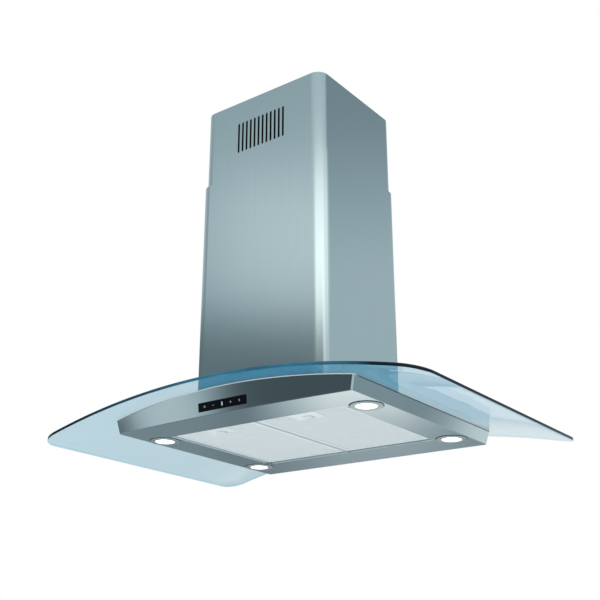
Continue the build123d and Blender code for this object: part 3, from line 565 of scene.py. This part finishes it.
@dataclass(frozen=True)
class LitMark:
    """Printed or lit mark on the control strip."""

    name: str
    tone: Colour
    strength: float
    grain: float = 2500.0
    dark: float = 0.85
    roughness: Pair = (0.3, 0.4)

    def make(self) -> Material:
        """Builds the node tree.

        Returns:
            The material.
        """
        mix = recipe_for(self.name)
        grain = mix.noise(mix.place(), self.grain)
        colour = mix.shades(grain, self.tone, self.dark)
        return mix.finish(mix.principled({
            "Base Color": colour, "Roughness": mix.spread(grain, *self.roughness),
            "Emission Color": colour, "Emission Strength": self.strength}))


STEEL_UPRIGHT = BrushedSteel("steel_upright")
STEEL_ACROSS = BrushedSteel("steel_across", grain=Grain.ACROSS, roughness=0.14)
ALUMINIUM = CastMetal("filter_aluminium", (0.79, 0.85, 0.87), 0.45, 500.0, metallic=0.25)
RUBBER = Moulding("black_rubber", (0.02, 0.02, 0.022), 0.7)
LENS_GLASS = GlowingLens("lamp_glass")
SLOT_FINISHES: dict[str, Any] = {
    "zinc_steel": ZincSteel("zinc_sheet"),
    "filter_aluminium": ALUMINIUM,
    "chrome_trim": CastMetal("polished_chrome", (0.52, 0.60, 0.61), 0.26, 200.0, 0.000008),
    "black_gloss": Moulding("black_gloss", (0.004, 0.005, 0.007), 0.12, 300.0, 0.000004, 0.05),
    "display_black": Moulding("display_window", (0.002, 0.003, 0.005), 0.1, 300.0, 0.000002,
                              0.05),
    "white_seal": SealStrip("seal_painted_light"),
    "black_rubber": RUBBER,
    "grey_plastic": Moulding("grey_plastic", (0.30, 0.32, 0.33), 0.5),
    "black_plastic": Moulding("black_plastic", (0.022, 0.023, 0.025), 0.5),
    "steel_fastener": CastMetal("plated_steel", (0.62, 0.63, 0.62), 0.3, 500.0),
    "circuit_green": Moulding("circuit_board", (0.02, 0.12, 0.05), 0.35, 700.0, 0.00005),
    "motor_aluminium": CastMetal("cast_aluminium", (0.66, 0.67, 0.68), 0.45, 700.0, 0.00008),
    "core_steel": CastMetal("core_laminations", (0.35, 0.34, 0.33), 0.5, 900.0),
    "lamp_glass": LENS_GLASS,
    "canopy_glass": LENS_GLASS,
}
SATIN_DIVIDER = CastMetal("satin_divider", (0.44, 0.51, 0.53), 0.5, 400.0, metallic=0.2)
SATIN_LATCH = CastMetal("satin_latch", (0.72, 0.79, 0.81), 0.45, 400.0, metallic=0.2)
NODE_FINISHES: dict[str, Any] = {
    "upper_chimney": STEEL_UPRIGHT,
    "lower_chimney": STEEL_UPRIGHT,
    "filter_divider": SATIN_DIVIDER,
    "filter_latch_left": SATIN_LATCH,
    "filter_latch_right": SATIN_LATCH,
}
KEY_PRINT = LitMark("key_print", (0.27, 0.30, 0.32), 0.1)
DISPLAY_LIGHT = LitMark("display_light", (0.70, 0.80, 0.85), 0.35)


# ---- mesh helpers
def new_object(name: str, shape: Shape, finishes: Sequence[Material]) -> bpy.types.Object:
    """Turns a bmesh into an object.

    Args:
        name: Name of the object.
        shape: Its shape in the row frame, in metres; it is freed.
        finishes: Materials by index.

    Returns:
        The object.
    """
    mesh = bpy.data.meshes.new(name)
    shape.to_mesh(mesh)
    shape.free()
    for finish in finishes:
        mesh.materials.append(finish)
    made = bpy.data.objects.new(name, mesh)
    bpy.context.scene.collection.objects.link(made)
    return made


def new_piece(name: str, shape: Shape, finishes: Sequence[Material], body: str,
              replaced: Sequence[str] = ()) -> bpy.types.Object:
    """Turns a bmesh into a piece of the hood.

    Args:
        name: Name of the piece.
        shape: Its shape in the row frame, in metres; it is freed.
        finishes: Materials by index.
        body: The CAD body that it rides on.
        replaced: CAD nodes that it stands for.

    Returns:
        The finished object.
    """
    piece = new_object(name, shape, finishes)
    mesh = piece.data
    mesh.shade_smooth()
    mesh.set_sharp_from_angle(angle=SHARP_ABOVE)
    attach(piece, body)
    if replaced:
        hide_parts(*replaced)
    LOG.info("%s: %d faces, rides on %s", name, len(mesh.polygons), body)
    return piece


def shift(shape: Shape, way: Sequence[float]) -> None:
    """Moves a shape."""
    bmesh.ops.translate(shape, verts=shape.verts[:], vec=way)


def rectangle(width: float, depth: float, centre: Sequence[float], strips: int = 1) -> Shape:
    """Flat rectangle.

    Args:
        width: Size along X.
        depth: Size along Y.
        centre: Its middle.
        strips: Faces side by side along X.

    Returns:
        The shape, which faces up.
    """
    shape = bmesh.new()
    bmesh.ops.create_grid(shape, x_segments=strips, y_segments=1, size=0.5)
    bmesh.ops.scale(shape, verts=shape.verts[:], vec=(width, depth, 1.0))
    shift(shape, centre)
    return shape


def thicken(shape: Shape, height: float) -> None:
    """Turns a flat shape into a slab.

    Args:
        shape: The bmesh.
        height: How far the slab rises.
    """
    grown = bmesh.ops.extrude_face_region(shape, geom=shape.faces[:])["geom"]
    upper = [item for item in grown if isinstance(item, bmesh.types.BMVert)]
    bmesh.ops.translate(shape, verts=upper, vec=(0, 0, height))
    bmesh.ops.recalc_face_normals(shape, faces=shape.faces[:])


def cut(shape: Shape, point: Sequence[float], normal: Sequence[float], trim: bool = True) -> None:
    """Cuts a shape with a plane.

    Args:
        shape: The bmesh.
        point: A point of the plane.
        normal: The plane's normal.
        trim: Whether what lies on the normal's side is removed.
    """
    everything = shape.verts[:] + shape.edges[:] + shape.faces[:]
    bmesh.ops.bisect_plane(shape, geom=everything, dist=ON_PLANE, plane_co=point,
                           plane_no=normal, clear_outer=trim)


def turned(profile: Sequence[Pair], centre: Sequence[float], steps: int) -> Shape:
    """Shape turned about an upright axis.

    Args:
        profile: Radius and height of each point.
        centre: Foot of the axis.
        steps: Faces round the axis.

    Returns:
        The closed shape, with its faces outwards.
    """
    shape = bmesh.new()
    points = [shape.verts.new((radius, 0.0, height)) for radius, height in profile]
    edges = [shape.edges.new(pair) for pair in zip(points, points[1:])]
    bmesh.ops.spin(shape, geom=points + edges, axis=(0, 0, 1), cent=(0, 0, 0), angle=math.tau,
                   steps=steps, use_merge=True)
    bmesh.ops.remove_doubles(shape, verts=shape.verts[:], dist=WELD)
    bmesh.ops.recalc_face_normals(shape, faces=shape.faces[:])
    shift(shape, centre)
    return shape


# ---- glass canopy
@dataclass
class GlassCanopy:
    """Bent sheet of tempered glass with a polished edge and a cutout over the hood body."""

    width: float = 0.900
    depth: float = 0.622
    thickness: float = 0.006
    sag: float = 0.0586
    bow: float = 0.0037
    corner: float = 0.040
    middle_y: float = 0.020
    cut_width: float = 0.286
    cut_depth: float = 0.242
    strips: int = 90
    corner_cuts: int = 10
    bow_cuts: int = 17
    edge_round: float = 0.0008
    edge_segments: int = 3
    flat_above: float = 0.5
    steep_below: float = 0.6
    front_below: float = -0.3
    level_above: float = 0.999

    def _outline_cuts(self) -> list[tuple[Vector, Vector]]:
        """Planes that trim a rectangle to the outline: corner arcs and the bowed front.

        Returns:
            Point and outward normal of each plane.
        """
        half, deep = self.width / 2, self.depth / 2
        planes = []
        for sx in (-1, 1):
            for sy in (-1, 1):
                centre = Vector((sx * (half - self.corner),
                                 self.middle_y + sy * (deep - self.corner), 0))
                for step in range(1, self.corner_cuts):
                    turn = math.pi / 2 * step / self.corner_cuts
                    normal = Vector((sx * math.cos(turn), sy * math.sin(turn), 0))
                    planes.append((centre + normal * self.corner, normal))
        bow_radius = (half ** 2 + self.bow ** 2) / (2 * self.bow)
        front = self.middle_y - deep - self.bow
        for step in range(self.bow_cuts):
            turn = math.asin(half / bow_radius) * (2 * (step + 0.5) / self.bow_cuts - 1)
            normal = Vector((math.sin(turn), -math.cos(turn), 0))
            planes.append((Vector((0, front + bow_radius, 0)) + normal * bow_radius, normal))
        return planes

    def _flat_sheet(self) -> Shape:
        """Draws the outline as a flat face cut into strips, with its cutout.

        Returns:
            The flat sheet.
        """
        room = self.depth + 2 * self.bow
        centre = (0, self.middle_y + (self.depth - room) / 2, 0)
        sheet = rectangle(self.width, room, centre, self.strips)
        for point, normal in self._outline_cuts():
            cut(sheet, point, normal)
        for sign in (-1, 1):
            cut(sheet, (sign * self.cut_width / 2, 0, 0), (1, 0, 0), False)
            cut(sheet, (0, sign * self.cut_depth / 2, 0), (0, 1, 0), False)
        centres = [(face, face.calc_center_median()) for face in sheet.faces]
        inside = [face for face, spot in centres
                  if abs(spot.x) < self.cut_width / 2 and abs(spot.y) < self.cut_depth / 2]
        bmesh.ops.delete(sheet, geom=inside, context="FACES")
        return sheet

    def _round_edges(self, sheet: Shape) -> None:
        """Rounds the arrises between the faces of the slab and its edge.

        Args:
            sheet: The slab.
        """
        flat = {face for face in sheet.faces if abs(face.normal.z) > self.flat_above}
        arrises = [edge for edge in sheet.edges if len(edge.link_faces) == 2
                   and (edge.link_faces[0] in flat) != (edge.link_faces[1] in flat)]
        bmesh.ops.bevel(sheet, geom=arrises, offset=self.edge_round, segments=self.edge_segments,
                        profile=0.5, affect="EDGES", material=-1, clamp_overlap=True)

    def _bend(self, sheet: Shape) -> None:
        """Lifts every vertex of the flat slab onto the arch.

        Args:
            sheet: The slab.
        """
        radius = ((self.width / 2) ** 2 + self.sag ** 2) / (2 * self.sag)
        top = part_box("glass_canopy")[1].z
        axis_z = top - self.thickness - radius
        for vertex in sheet.verts:
            ring = radius + vertex.co.z
            vertex.co.z = axis_z + math.sqrt(ring ** 2 - vertex.co.x ** 2)

    def build(self, pane: Material, edge: Material) -> None:
        """Makes the sheet.

        Args:
            pane: Finish of its faces.
            edge: Finish of its polished edge.
        """
        sheet = self._flat_sheet()
        thicken(sheet, self.thickness)
        self._round_edges(sheet)
        for face in sheet.faces:
            upright = abs(face.normal.z)
            front_arris = face.normal.y < self.front_below and upright < self.level_above
            face.material_index = 1 if upright < self.steep_below or front_arris else 0
        self._bend(sheet)
        piece = new_piece("canopy_glass_sheet", sheet, [pane, edge], "hood",
                          ["glass_canopy"])
        piece.visible_glossy = False


# ---- grease filters
@dataclass
class FilterPad:
    """Pack of expanded aluminium mesh in a filter's rim."""

    side: str
    bay_half: float = 0.0301
    bay_depth: float = 0.0401
    diamond_x: float = 0.0062
    diamond_y: float = 0.0042
    wire: float = 0.0007
    layers: int = 2
    layer_start: float = 0.6
    layer_pitch: float = 1.3
    layer_shift: float = 0.3
    core_inset: float = 0.0024
    low: Vector = field(init=False)
    high: Vector = field(init=False)

    def __post_init__(self) -> None:
        """Reads the corners of the pad from its CAD node."""
        node = f"filter_mesh_{self.side}"
        self.low, self.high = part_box(node)

    def _trim(self, shape: Shape) -> None:
        """Trims a flat shape to the pad's outline and takes the latch bay out.

        Args:
            shape: The bmesh.
        """
        low, high = self.low, self.high
        for axis, sign, place in ((0, -1, low.x), (0, 1, high.x), (1, -1, low.y), (1, 1, high.y)):
            point, normal = Vector((0, 0, 0)), Vector((0, 0, 0))
            point[axis], normal[axis] = place, sign
            cut(shape, point, normal)
        middle = (low.x + high.x) / 2
        rear = low.y + self.bay_depth
        for sign in (-1, 1):
            cut(shape, (middle + sign * self.bay_half, 0, 0), (1, 0, 0), False)
        cut(shape, (0, rear, 0), (0, 1, 0), False)
        centres = [(face, face.calc_center_median()) for face in shape.faces]
        bay = [face for face, spot in centres
               if abs(spot.x - middle) < self.bay_half and spot.y < rear]
        bmesh.ops.delete(shape, geom=bay, context="FACES")

    def _net(self, height: float, aside: float) -> Shape:
        """One layer of expanded mesh.

        Args:
            height: Z of the layer.
            aside: Sideways shift of its diamonds.

        Returns:
            The layer's wires.
        """
        net = bmesh.new()
        room = self.high - self.low
        reach = max(room.x / self.diamond_x, room.y / self.diamond_y)
        count = 2 * (int(reach / 2) + 2)
        bmesh.ops.create_grid(net, x_segments=2 * count, y_segments=2 * count,
                              size=count * math.sqrt(0.5))
        bmesh.ops.rotate(net, verts=net.verts[:], cent=(0, 0, 0),
                         matrix=Matrix.Rotation(math.pi / 4, 3, "Z"))
        bmesh.ops.scale(net, verts=net.verts[:], vec=(self.diamond_x, self.diamond_y, 1.0))
        centre = (self.low + self.high) / 2
        shift(net, (centre.x + aside, centre.y, height))
        self._trim(net)
        bmesh.ops.wireframe(net, faces=net.faces[:], thickness=self.wire, use_replace=True,
                            use_boundary=True, use_even_offset=True)
        return net

    def _core(self) -> Shape:
        """Solid heart of the pack, behind the layers.

        Returns:
            The slab.
        """
        room, centre = self.high - self.low, (self.low + self.high) / 2
        core = rectangle(room.x, room.y, (centre.x, centre.y, self.low.z + self.core_inset))
        self._trim(core)
        thicken(core, room.z - self.core_inset)
        return core

    def build(self, finish: Material) -> None:
        """Makes the mesh layers and the core.

        Args:
            finish: Aluminium of the mesh.
        """
        node = f"filter_mesh_{self.side}"
        for layer in range(self.layers):
            height = self.low.z + self.wire * (self.layer_start + self.layer_pitch * layer)
            net = self._net(height, self.layer_shift * self.diamond_x * layer)
            new_piece(f"mesh_layer_{self.side}_{layer + 1}", net, [finish],
                      f"filter_{self.side}", [node] if layer == 0 else [])
        new_piece(f"mesh_core_{self.side}", self._core(), [finish], f"filter_{self.side}")


# ---- lamps
@dataclass
class LampLens:
    """Pressed glass lens with rings on its face, and a thin dark seal round the lamp's ring that
    also stands as painted shade for the gap there.
    """

    place: str
    radius: float = 0.021
    flange: float = 0.024
    depth: float = 0.0036
    flange_depth: float = 0.002
    rings: int = 7
    ring_depth: float = 0.0004
    face_margin: float = 0.001
    ring_section: tuple[Pair, ...] = ((0.3, 0.15), (0.6, 0.0), (1.0, 1.0))
    rim: tuple[Pair, ...] = ((-0.0003, 0.0007), (0.0, 0.0014))
    seal_radius: float = 0.0321
    seal_inner: float = 0.0305
    seal_depth: float = 0.0007
    seal_slope: float = 0.0002
    steps: int = 64

    def _profile(self) -> list[Pair]:
        """Outline of the lens, from the middle of its face.

        Returns:
            Radius and height of each point.
        """
        pitch = (self.radius - self.face_margin) / self.rings
        top = self.depth + self.flange_depth
        rings = [(pitch * (ring + across), self.ring_depth * up)
                 for ring in range(self.rings) for across, up in self.ring_section]
        rim = [(self.radius + across, up) for across, up in self.rim]
        return [(0.0, self.ring_depth), *rings, *rim, (self.radius, self.depth),
                (self.flange, self.depth), (self.flange, top), (0.0, top)]

    def build(self, glass: Material, rubber: Material) -> None:
        """Makes the lens and the thin seal, which is also painted shade for the gap round the
        lamp's ring.

        Args:
            glass: Finish of the lens.
            rubber: Finish of the seal.
        """
        node = f"lamp_lens_{self.place}"
        low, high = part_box(node)
        x, y = (low.x + high.x) / 2, (low.y + high.y) / 2
        lens = turned(self._profile(), (x, y, low.z), self.steps)
        new_piece(f"pressed_lens_{self.place}", lens, [glass], "hood", [node])
        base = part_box("bottom_panel")[0].z
        # Painted shade: a thin black ring below the panel round the lamp's ring, for the shadow gap
        # there; it is also a seal.
        section = [(self.seal_inner, 0.0), (self.seal_radius, 0.0),
                   (self.seal_radius - self.seal_slope, -self.seal_depth),
                   (self.seal_inner, -self.seal_depth), (self.seal_inner, 0.0)]
        seal = turned(section, (x, y, base), self.steps)
        new_piece(f"lamp_seal_and_shade_gap_{self.place}", seal, [rubber], "hood")


# ---- control strip
class Mark(Enum):
    """Plain symbols of the keys, in their order: the bars and the ring, in units of the size.

    A bar has its place up, width and height, where 0 is the stroke's width. A ring has its
    radius and its place up.
    """

    POWER = ((0.42, 0.0, 0.5),), (0.5, 0.0)
    MINUS = ((0.0, 1.0, 0.0),), None
    PLUS = ((0.0, 1.0, 0.0), (0.3, 0.0, 0.4), (-0.3, 0.0, 0.4)), None
    LAMP = ((-0.42, 0.36, 0.0),), (0.36, 0.12)


@dataclass
class StripMarks:
    """Thin raised marks on the keys and the lit digit in the window."""

    size: float = 0.0044
    stroke: float = 0.0008
    proud: float = 0.00012
    ring_steps: int = 20
    digit_size: float = 0.0056
    digit_width: float = 0.55
    digit_stroke: float = 1.1
    digit_gap: float = 1.2
    lean: float = math.atan(0.131)

    def _bar(self, shape: Shape, across: float, up: float, wide: float, tall: float) -> None:
        """Adds a flat bar.

        Args:
            shape: The bmesh.
            across: Middle of the bar along X.
            up: Middle of the bar along the strip's height.
            wide: Width.
            tall: Height.
        """
        made = bmesh.ops.create_cube(shape, size=1.0)["verts"]
        bmesh.ops.scale(shape, verts=made, vec=(wide, self.proud, tall))
        bmesh.ops.translate(shape, verts=made, vec=(across, -self.proud / 2, up))

    def _ring(self, shape: Shape, radius: float, up: float) -> None:
        """Adds a flat ring.

        Args:
            shape: The bmesh.
            radius: Outer radius.
            up: Centre along the strip's height.
        """
        inner = radius - self.stroke
        section = [(radius, 0.0), (radius, -self.proud), (inner, -self.proud), (inner, 0.0)]
        points = [shape.verts.new((across, away, up)) for across, away in section]
        edges = [shape.edges.new(pair) for pair in zip(points, points[1:] + points[:1])]
        bmesh.ops.spin(shape, geom=points + edges, axis=(0, 1, 0), cent=(0, 0, up),
                       angle=math.tau, steps=self.ring_steps, use_merge=True)

    def _symbol(self, mark: Mark) -> Shape:
        """Draws a symbol, flat in XZ about the origin.

        Args:
            mark: The symbol.

        Returns:
            Its shape.
        """
        shape = bmesh.new()
        bars, ring = mark.value
        if ring:
            self._ring(shape, *(share * self.size for share in ring))
        for bar in bars:
            up, wide, tall = (share * self.size for share in bar)
            self._bar(shape, 0.0, up, wide or self.stroke, tall or self.stroke)
        return shape

    def _digit(self) -> Shape:
        """Draws the figure 3 in bars, flat in XZ about the origin.

        Returns:
            Its shape.
        """
        shape = bmesh.new()
        wide, half = self.digit_size * self.digit_width, self.digit_size / 2
        thick = self.stroke * self.digit_stroke
        for up in (-half, 0.0, half):
            self._bar(shape, 0.0, up, wide, thick)
        for up in (-half / 2, half / 2):
            self._bar(shape, wide / 2 - self.stroke / 2, up, thick,
                      half - self.stroke * self.digit_gap)
        return shape

    def _seat(self, shape: Shape, node: str) -> Shape:
        """Places a flat mark on the outer face of a key or of the window.

        Args:
            shape: The mark.
            node: The CAD node that it lies on.

        Returns:
            The same mark.
        """
        facing = Vector((0, -math.cos(self.lean), -math.sin(self.lean)))
        mesh = frame["nodes"][node].data
        low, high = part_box(node)
        middle = (low + high) / 2
        reach = max((vertex.co - middle).dot(facing) for vertex in mesh.vertices)
        bmesh.ops.recalc_face_normals(shape, faces=shape.faces[:])
        bmesh.ops.rotate(shape, verts=shape.verts[:], cent=(0, 0, 0),
                         matrix=Matrix.Rotation(self.lean, 3, "X"))
        shift(shape, middle + facing * reach)
        return shape

    def build(self, print_finish: Material, light: Material) -> None:
        """Makes all marks.

        Args:
            print_finish: Finish of the key symbols.
            light: Finish of the lit digit.
        """
        for number, mark in enumerate(Mark, 1):
            shape = self._seat(self._symbol(mark), f"push_key_{number}")
            new_piece(f"key_mark_{number}", shape, [print_finish], f"key_{number}")
        shape = self._seat(self._digit(), "display_window")
        new_piece("display_digit", shape, [light], "hood")


# ---- carried-over nodes
class Wardrobe:
    """The finishes of the CAD nodes that keep their meshes, each made once."""

    def __init__(self) -> None:
        """Makes every material."""
        finishes = [*SLOT_FINISHES.values(), STEEL_ACROSS, *NODE_FINISHES.values()]
        self.made = {finish: finish.make() for finish in dict.fromkeys(finishes)}

    def dress(self) -> None:
        """Gives every CAD node its own finish, or else that of its material slot."""
        for part in frame["record"]["subparts"]:
            name, slot = part["node"], part["material_slot"]
            finish = NODE_FINISHES.get(name, SLOT_FINISHES.get(slot, STEEL_ACROSS))
            node = frame["nodes"][name]
            for index in range(len(node.data.materials)):
                node.data.materials[index] = self.made[finish]
            LOG.info("%s: %s", name, finish.name)


# ---- studio
def aimed(turn: float, lift: float, roll: float = 0.0) -> Matrix:
    """Rotation of a camera or lamp, by angles in degrees.

    Args:
        turn: Angle to the left of +Y.
        lift: Angle above level.
        roll: Angle about its own line of sight.

    Returns:
        The rotation.
    """
    angles = ((turn, "Z"), (lift + 90.0, "X"), (roll, "Z"))
    return reduce(Matrix.__matmul__, (Matrix.Rotation(math.radians(angle), 4, axis)
                                      for angle, axis in angles))


@dataclass
class Camera:
    """The photograph's viewpoint: angles in degrees, picture measures in pixels."""

    place: Point = (1.1811, -1.6016, -1.2038)
    yaw: float = 39.2
    pitch: float = 21.9
    roll: float = 1.1
    focal_px: float = 1001.4
    frame_px: float = 600.0
    axis_px: Pair = (253.2, 283.7)
    sensor: float = 36.0
    clip: Pair = (0.05, 100.0)

    def build(self) -> None:
        """Makes the camera and sets it."""
        data = bpy.data.cameras.new("camera")
        data.sensor_width = self.sensor
        data.lens = self.sensor * self.focal_px / self.frame_px
        data.shift_x = 0.5 - self.axis_px[0] / self.frame_px
        data.shift_y = self.axis_px[1] / self.frame_px - 0.5
        data.clip_start, data.clip_end = self.clip
        camera = bpy.data.objects.new("camera", data)
        camera.matrix_world = (Matrix.Translation(self.place)
                               @ aimed(self.yaw, self.pitch, self.roll))
        bpy.context.scene.collection.objects.link(camera)
        bpy.context.scene.camera = camera


@dataclass(frozen=True)
class SoftBox:
    """Rectangular area lamp aimed at the hood; azimuth 0 is towards -Y and 90 towards +X."""

    name: str
    azimuth: float
    elevation: float
    distance: float
    width: float
    height: float
    power: float


@dataclass(frozen=True)
class Panel:
    """Soft-edged patch of the tent: its brightness and its reach in degrees from the hood."""

    level: float
    azimuths: Pair
    elevations: Pair
    soft_azimuth: float
    soft_elevation: float


PANELS = tuple(Panel(*row) for row in (
    (0.95, (-50, -8), (18, 29.5), 16, 5),
    (1.35, (30, 124), (19.4, 29.5), 34, 2),
    (1.66, (-6, 76), (17.6, 29.5), 24, 2),
    (0.64, (118, 175), (8, 24), 24, 8),
    (0.52, (-80, -24), (31.5, 60), 22, 7),
    (0.68, (-24, 110), (33, 60), 22, 4),
    (0.34, (118, 175), (28.5, 60), 20, 10),
    (0.50, (-75, -42.5), (18, 60), 9, 6),
    (0.82, (-90, -43), (-12, 11), 5, 3),
    (0.80, (-50, -42.4), (-12, 3.2), 4, 1.5),
    (0.02, (-90, -50.9), (-12, 3.2), 3, 1),
    (0.20, (-182, 8), (11, 20), 16, 2.8),
    (1.95, (4, 74), (19.6, 24.5), 22, 2),
    (0.06, (2, 64), (9, 19.2), 16, 1),
    (0.11, (-39.5, -8), (-14, 14), 5, 3),
    (0.40, (125, 148.5), (-8, 8), 1.5, 6),
    (0.20, (145.8, 148.5), (-8, 8), 1, 6),
    (0.95, (148.5, 182), (-8, 8), 1, 6),
    (1.10, (148.9, 151.6), (-8, 8), 1, 6),
    (0.62, (-182, -125), (-60, -24.5), 6, 2.5),
    (0.24, (-182, -60), (-24.5, -9), 10, 2.5),
    (0.30, (-137.5, -60), (-24.5, -9), 3, 2.5),
    (0.50, (-142.5, -120), (-8.5, 3), 3, 2),
    (1.22, (-155, -142.6), (-26, -16.6), 6.5, 2),
    (0.38, (-160, -144.6), (-16.2, -9), 5, 1.5),
    (0.06, (-182, -143.4), (-9, 0), 2, 2),
    (1.13, (-182, -143.4), (-6, 5), 2, 0.5),
))


@dataclass
class Studio:
    """Pale floor, white surround, soft lamps, and a graduated tent that only reflections see."""

    aim: Point = (0.0, 0.02, -0.55)
    floor_z: float = -2.2
    floor_size: float = 60.0
    floor_colour: Colour = (0.74, 0.76, 0.77)
    floor_glow: float = 0.25
    ambient: float = 0.55
    tent_radius: float = 9.0
    tent_top: float = 9.0
    tent_sides: int = 128
    tent_levels: Pair = (0.75, 0.60)
    tent_rise: Pair = (0.0, 45.0)
    dark_tint: Colour = (0.80, 1.0, 1.10)
    pale_tint: Colour = (1.03, 1.0, 0.97)
    tint_levels: Pair = (0.2, 1.2)
    duct_size: Pair = (0.317, 0.276)
    duct_corner: float = 0.0255
    duct_segments: int = 6
    duct_under: float = -0.0035
    # Painted shade: near-black tone of the card that darkens the inside of the chimney.
    chimney_shade_colour: Colour = (0.03, 0.03, 0.03)
    lamps: tuple[SoftBox, ...] = (
        SoftBox("key_box", 45, 18, 3.2, 1.2, 1.6, 40),
        SoftBox("fill_box", -60, 30, 3.6, 1.8, 1.8, 22),
        SoftBox("top_box", 20, 75, 2.6, 2.4, 2.4, 30),
        SoftBox("under_box", 20, -62, 1.5, 1.6, 1.6, 14),
    )
    panels: tuple[Panel, ...] = PANELS

    def _floor(self) -> None:
        """Makes the floor: matt, a little brighter to the camera, graduated in reflections."""
        grid = rectangle(self.floor_size, self.floor_size, (0, 0, self.floor_z))
        mix = recipe_for("studio_floor")
        camera = mix.node("ShaderNodeLightPath", output="Is Camera Ray")
        matt = mix.node("ShaderNodeBsdfDiffuse", inputs={"Color": (*self.floor_colour, 1.0)})
        glow = mix.node("ShaderNodeEmission", inputs={"Strength": camera * self.floor_glow})
        lit = mix.node("ShaderNodeAddShader", inputs={0: matt, 1: glow})
        mix.finish(mix.either(camera.beside("Is Glossy Ray"), lit, self._pattern(mix)))
        new_object("studio_floor", grid, [mix.owner])

    def _window(self, mix: Recipe, angle: Wire, reach: Pair, soft: float) -> Wire:
        """Share between 0 and 1 of an angle in a range with soft ends.

        Args:
            mix: The recipe.
            angle: The angle in degrees.
            reach: Start and end, at half strength.
            soft: Width of each soft end.

        Returns:
            The share.
        """
        rise = mix.spread(angle, 0.0, 1.0, (reach[0] - soft / 2, reach[0] + soft / 2))
        fall = mix.spread(angle, 1.0, 0.0, (reach[1] - soft / 2, reach[1] + soft / 2))
        return rise * fall

    def _pattern(self, mix: Recipe) -> Wire:
        """Brightness that reflections meet, by direction from the hood.

        Args:
            mix: The recipe of the tent's wall or floor.

        Returns:
            The emission.
        """
        x, y, z = mix.axes()
        azimuth = x.degrees(y * -1.0)
        away = (x * x + y * y) ** 0.5
        elevation = (z - self.aim[2]).degrees(away)
        level = mix.spread(elevation, *self.tent_levels, self.tent_rise)
        for panel in self.panels:
            share = (self._window(mix, azimuth, panel.azimuths, panel.soft_azimuth)
                     * self._window(mix, elevation, panel.elevations, panel.soft_elevation))
            level = level + (panel.level - level) * share
        tint = mix.mixed(mix.spread(level, 0.0, 1.0, self.tint_levels), self.dark_tint,
                         self.pale_tint)
        return mix.node("ShaderNodeEmission", inputs={"Color": tint, "Strength": level})

    def _tent(self) -> None:
        """Makes the round tent wall with its panels."""
        wall = bmesh.new()
        bmesh.ops.create_cone(wall, segments=self.tent_sides, radius1=self.tent_radius,
                              radius2=self.tent_radius, depth=self.tent_top - self.floor_z)
        shift(wall, (0, 0, (self.tent_top + self.floor_z) / 2))
        mix = recipe_for("tent_wall")
        mix.finish(self._pattern(mix))
        tent = new_object("tent_wall", wall, [mix.owner])
        tent.visible_camera = tent.visible_diffuse = tent.visible_shadow = False
        tent.visible_transmission = tent.visible_volume_scatter = False

    def _chimney_shade_card(self) -> None:
        """Makes a card under the ceiling plate that blocks light like the ceiling; its near-black
        face is painted shade for the inside of the chimney; from above it lets everything through.
        """
        sheet = rectangle(*self.duct_size, (0, 0, 0))
        bmesh.ops.bevel(sheet, geom=sheet.verts[:], offset=self.duct_corner,
                        segments=self.duct_segments, profile=0.5, affect="VERTICES", material=-1)
        bmesh.ops.reverse_faces(sheet, faces=sheet.faces[:])
        shift(sheet, (0, 0, self.duct_under))
        mix = recipe_for("chimney_shade_card")
        # Painted shade on the face seen from below; the back lets everything through.
        dark = mix.node("ShaderNodeBsdfDiffuse", inputs={"Color": (*self.chimney_shade_colour, 1.0)})
        mix.finish(mix.either(mix.behind(), dark, mix.clear((1.0, 1.0, 1.0))))
        new_object("chimney_shade_card", sheet, [mix.owner])

    def _lamp(self, box: SoftBox) -> None:
        """Makes a lamp that the camera and the reflections don't see.

        Args:
            box: Its place and size.
        """
        data = bpy.data.lights.new(box.name, "AREA")
        data.shape = "RECTANGLE"
        data.size, data.size_y = box.width, box.height
        data.energy = box.power
        lamp = bpy.data.objects.new(box.name, data)
        lamp.matrix_world = (Matrix.Translation(self.aim)
                             @ aimed(box.azimuth, -box.elevation)
                             @ Matrix.Translation((0, 0, box.distance)))
        lamp.visible_camera = lamp.visible_glossy = False
        bpy.context.scene.collection.objects.link(lamp)

    def _world(self) -> None:
        """Makes the surround: white to the camera and in reflections, softer as light."""
        world = bpy.data.worlds.new("surround")
        bpy.context.scene.world = world
        mix = Recipe(world)
        camera = mix.node("ShaderNodeLightPath", output="Is Camera Ray")
        seen = camera + camera.beside("Is Glossy Ray") + camera.beside("Is Transmission Ray")
        mix.finish(mix.node("ShaderNodeBackground", inputs={
            "Color": (1.0, 1.0, 1.0, 1.0), "Strength": mix.spread(seen, self.ambient, 1.0)}))

    def build(self) -> None:
        """Makes the whole studio."""
        bpy.context.scene.view_settings.view_transform = "Standard"
        self._world()
        self._floor()
        self._tent()
        self._chimney_shade_card()
        for box in self.lamps:
            self._lamp(box)


def main() -> None:
    """Builds the camera, the studio and every piece."""
    logging.basicConfig(level=logging.INFO, format="%(name)s: %(message)s")
    Camera().build()
    Studio().build()
    wardrobe = Wardrobe()
    wardrobe.dress()
    GlassCanopy().build(ClearPane("canopy_pane").make(), PaneEdge("canopy_edge_painted_light").make())
    for side in ("left", "right"):
        FilterPad(side).build(wardrobe.made[ALUMINIUM])
    for place in ("front_left", "front_right", "rear_left", "rear_right"):
        LampLens(place).build(wardrobe.made[LENS_GLASS], wardrobe.made[RUBBER])
    StripMarks().build(KEY_PRINT.make(), DISPLAY_LIGHT.make())


if __name__ == "__main__":
    main()
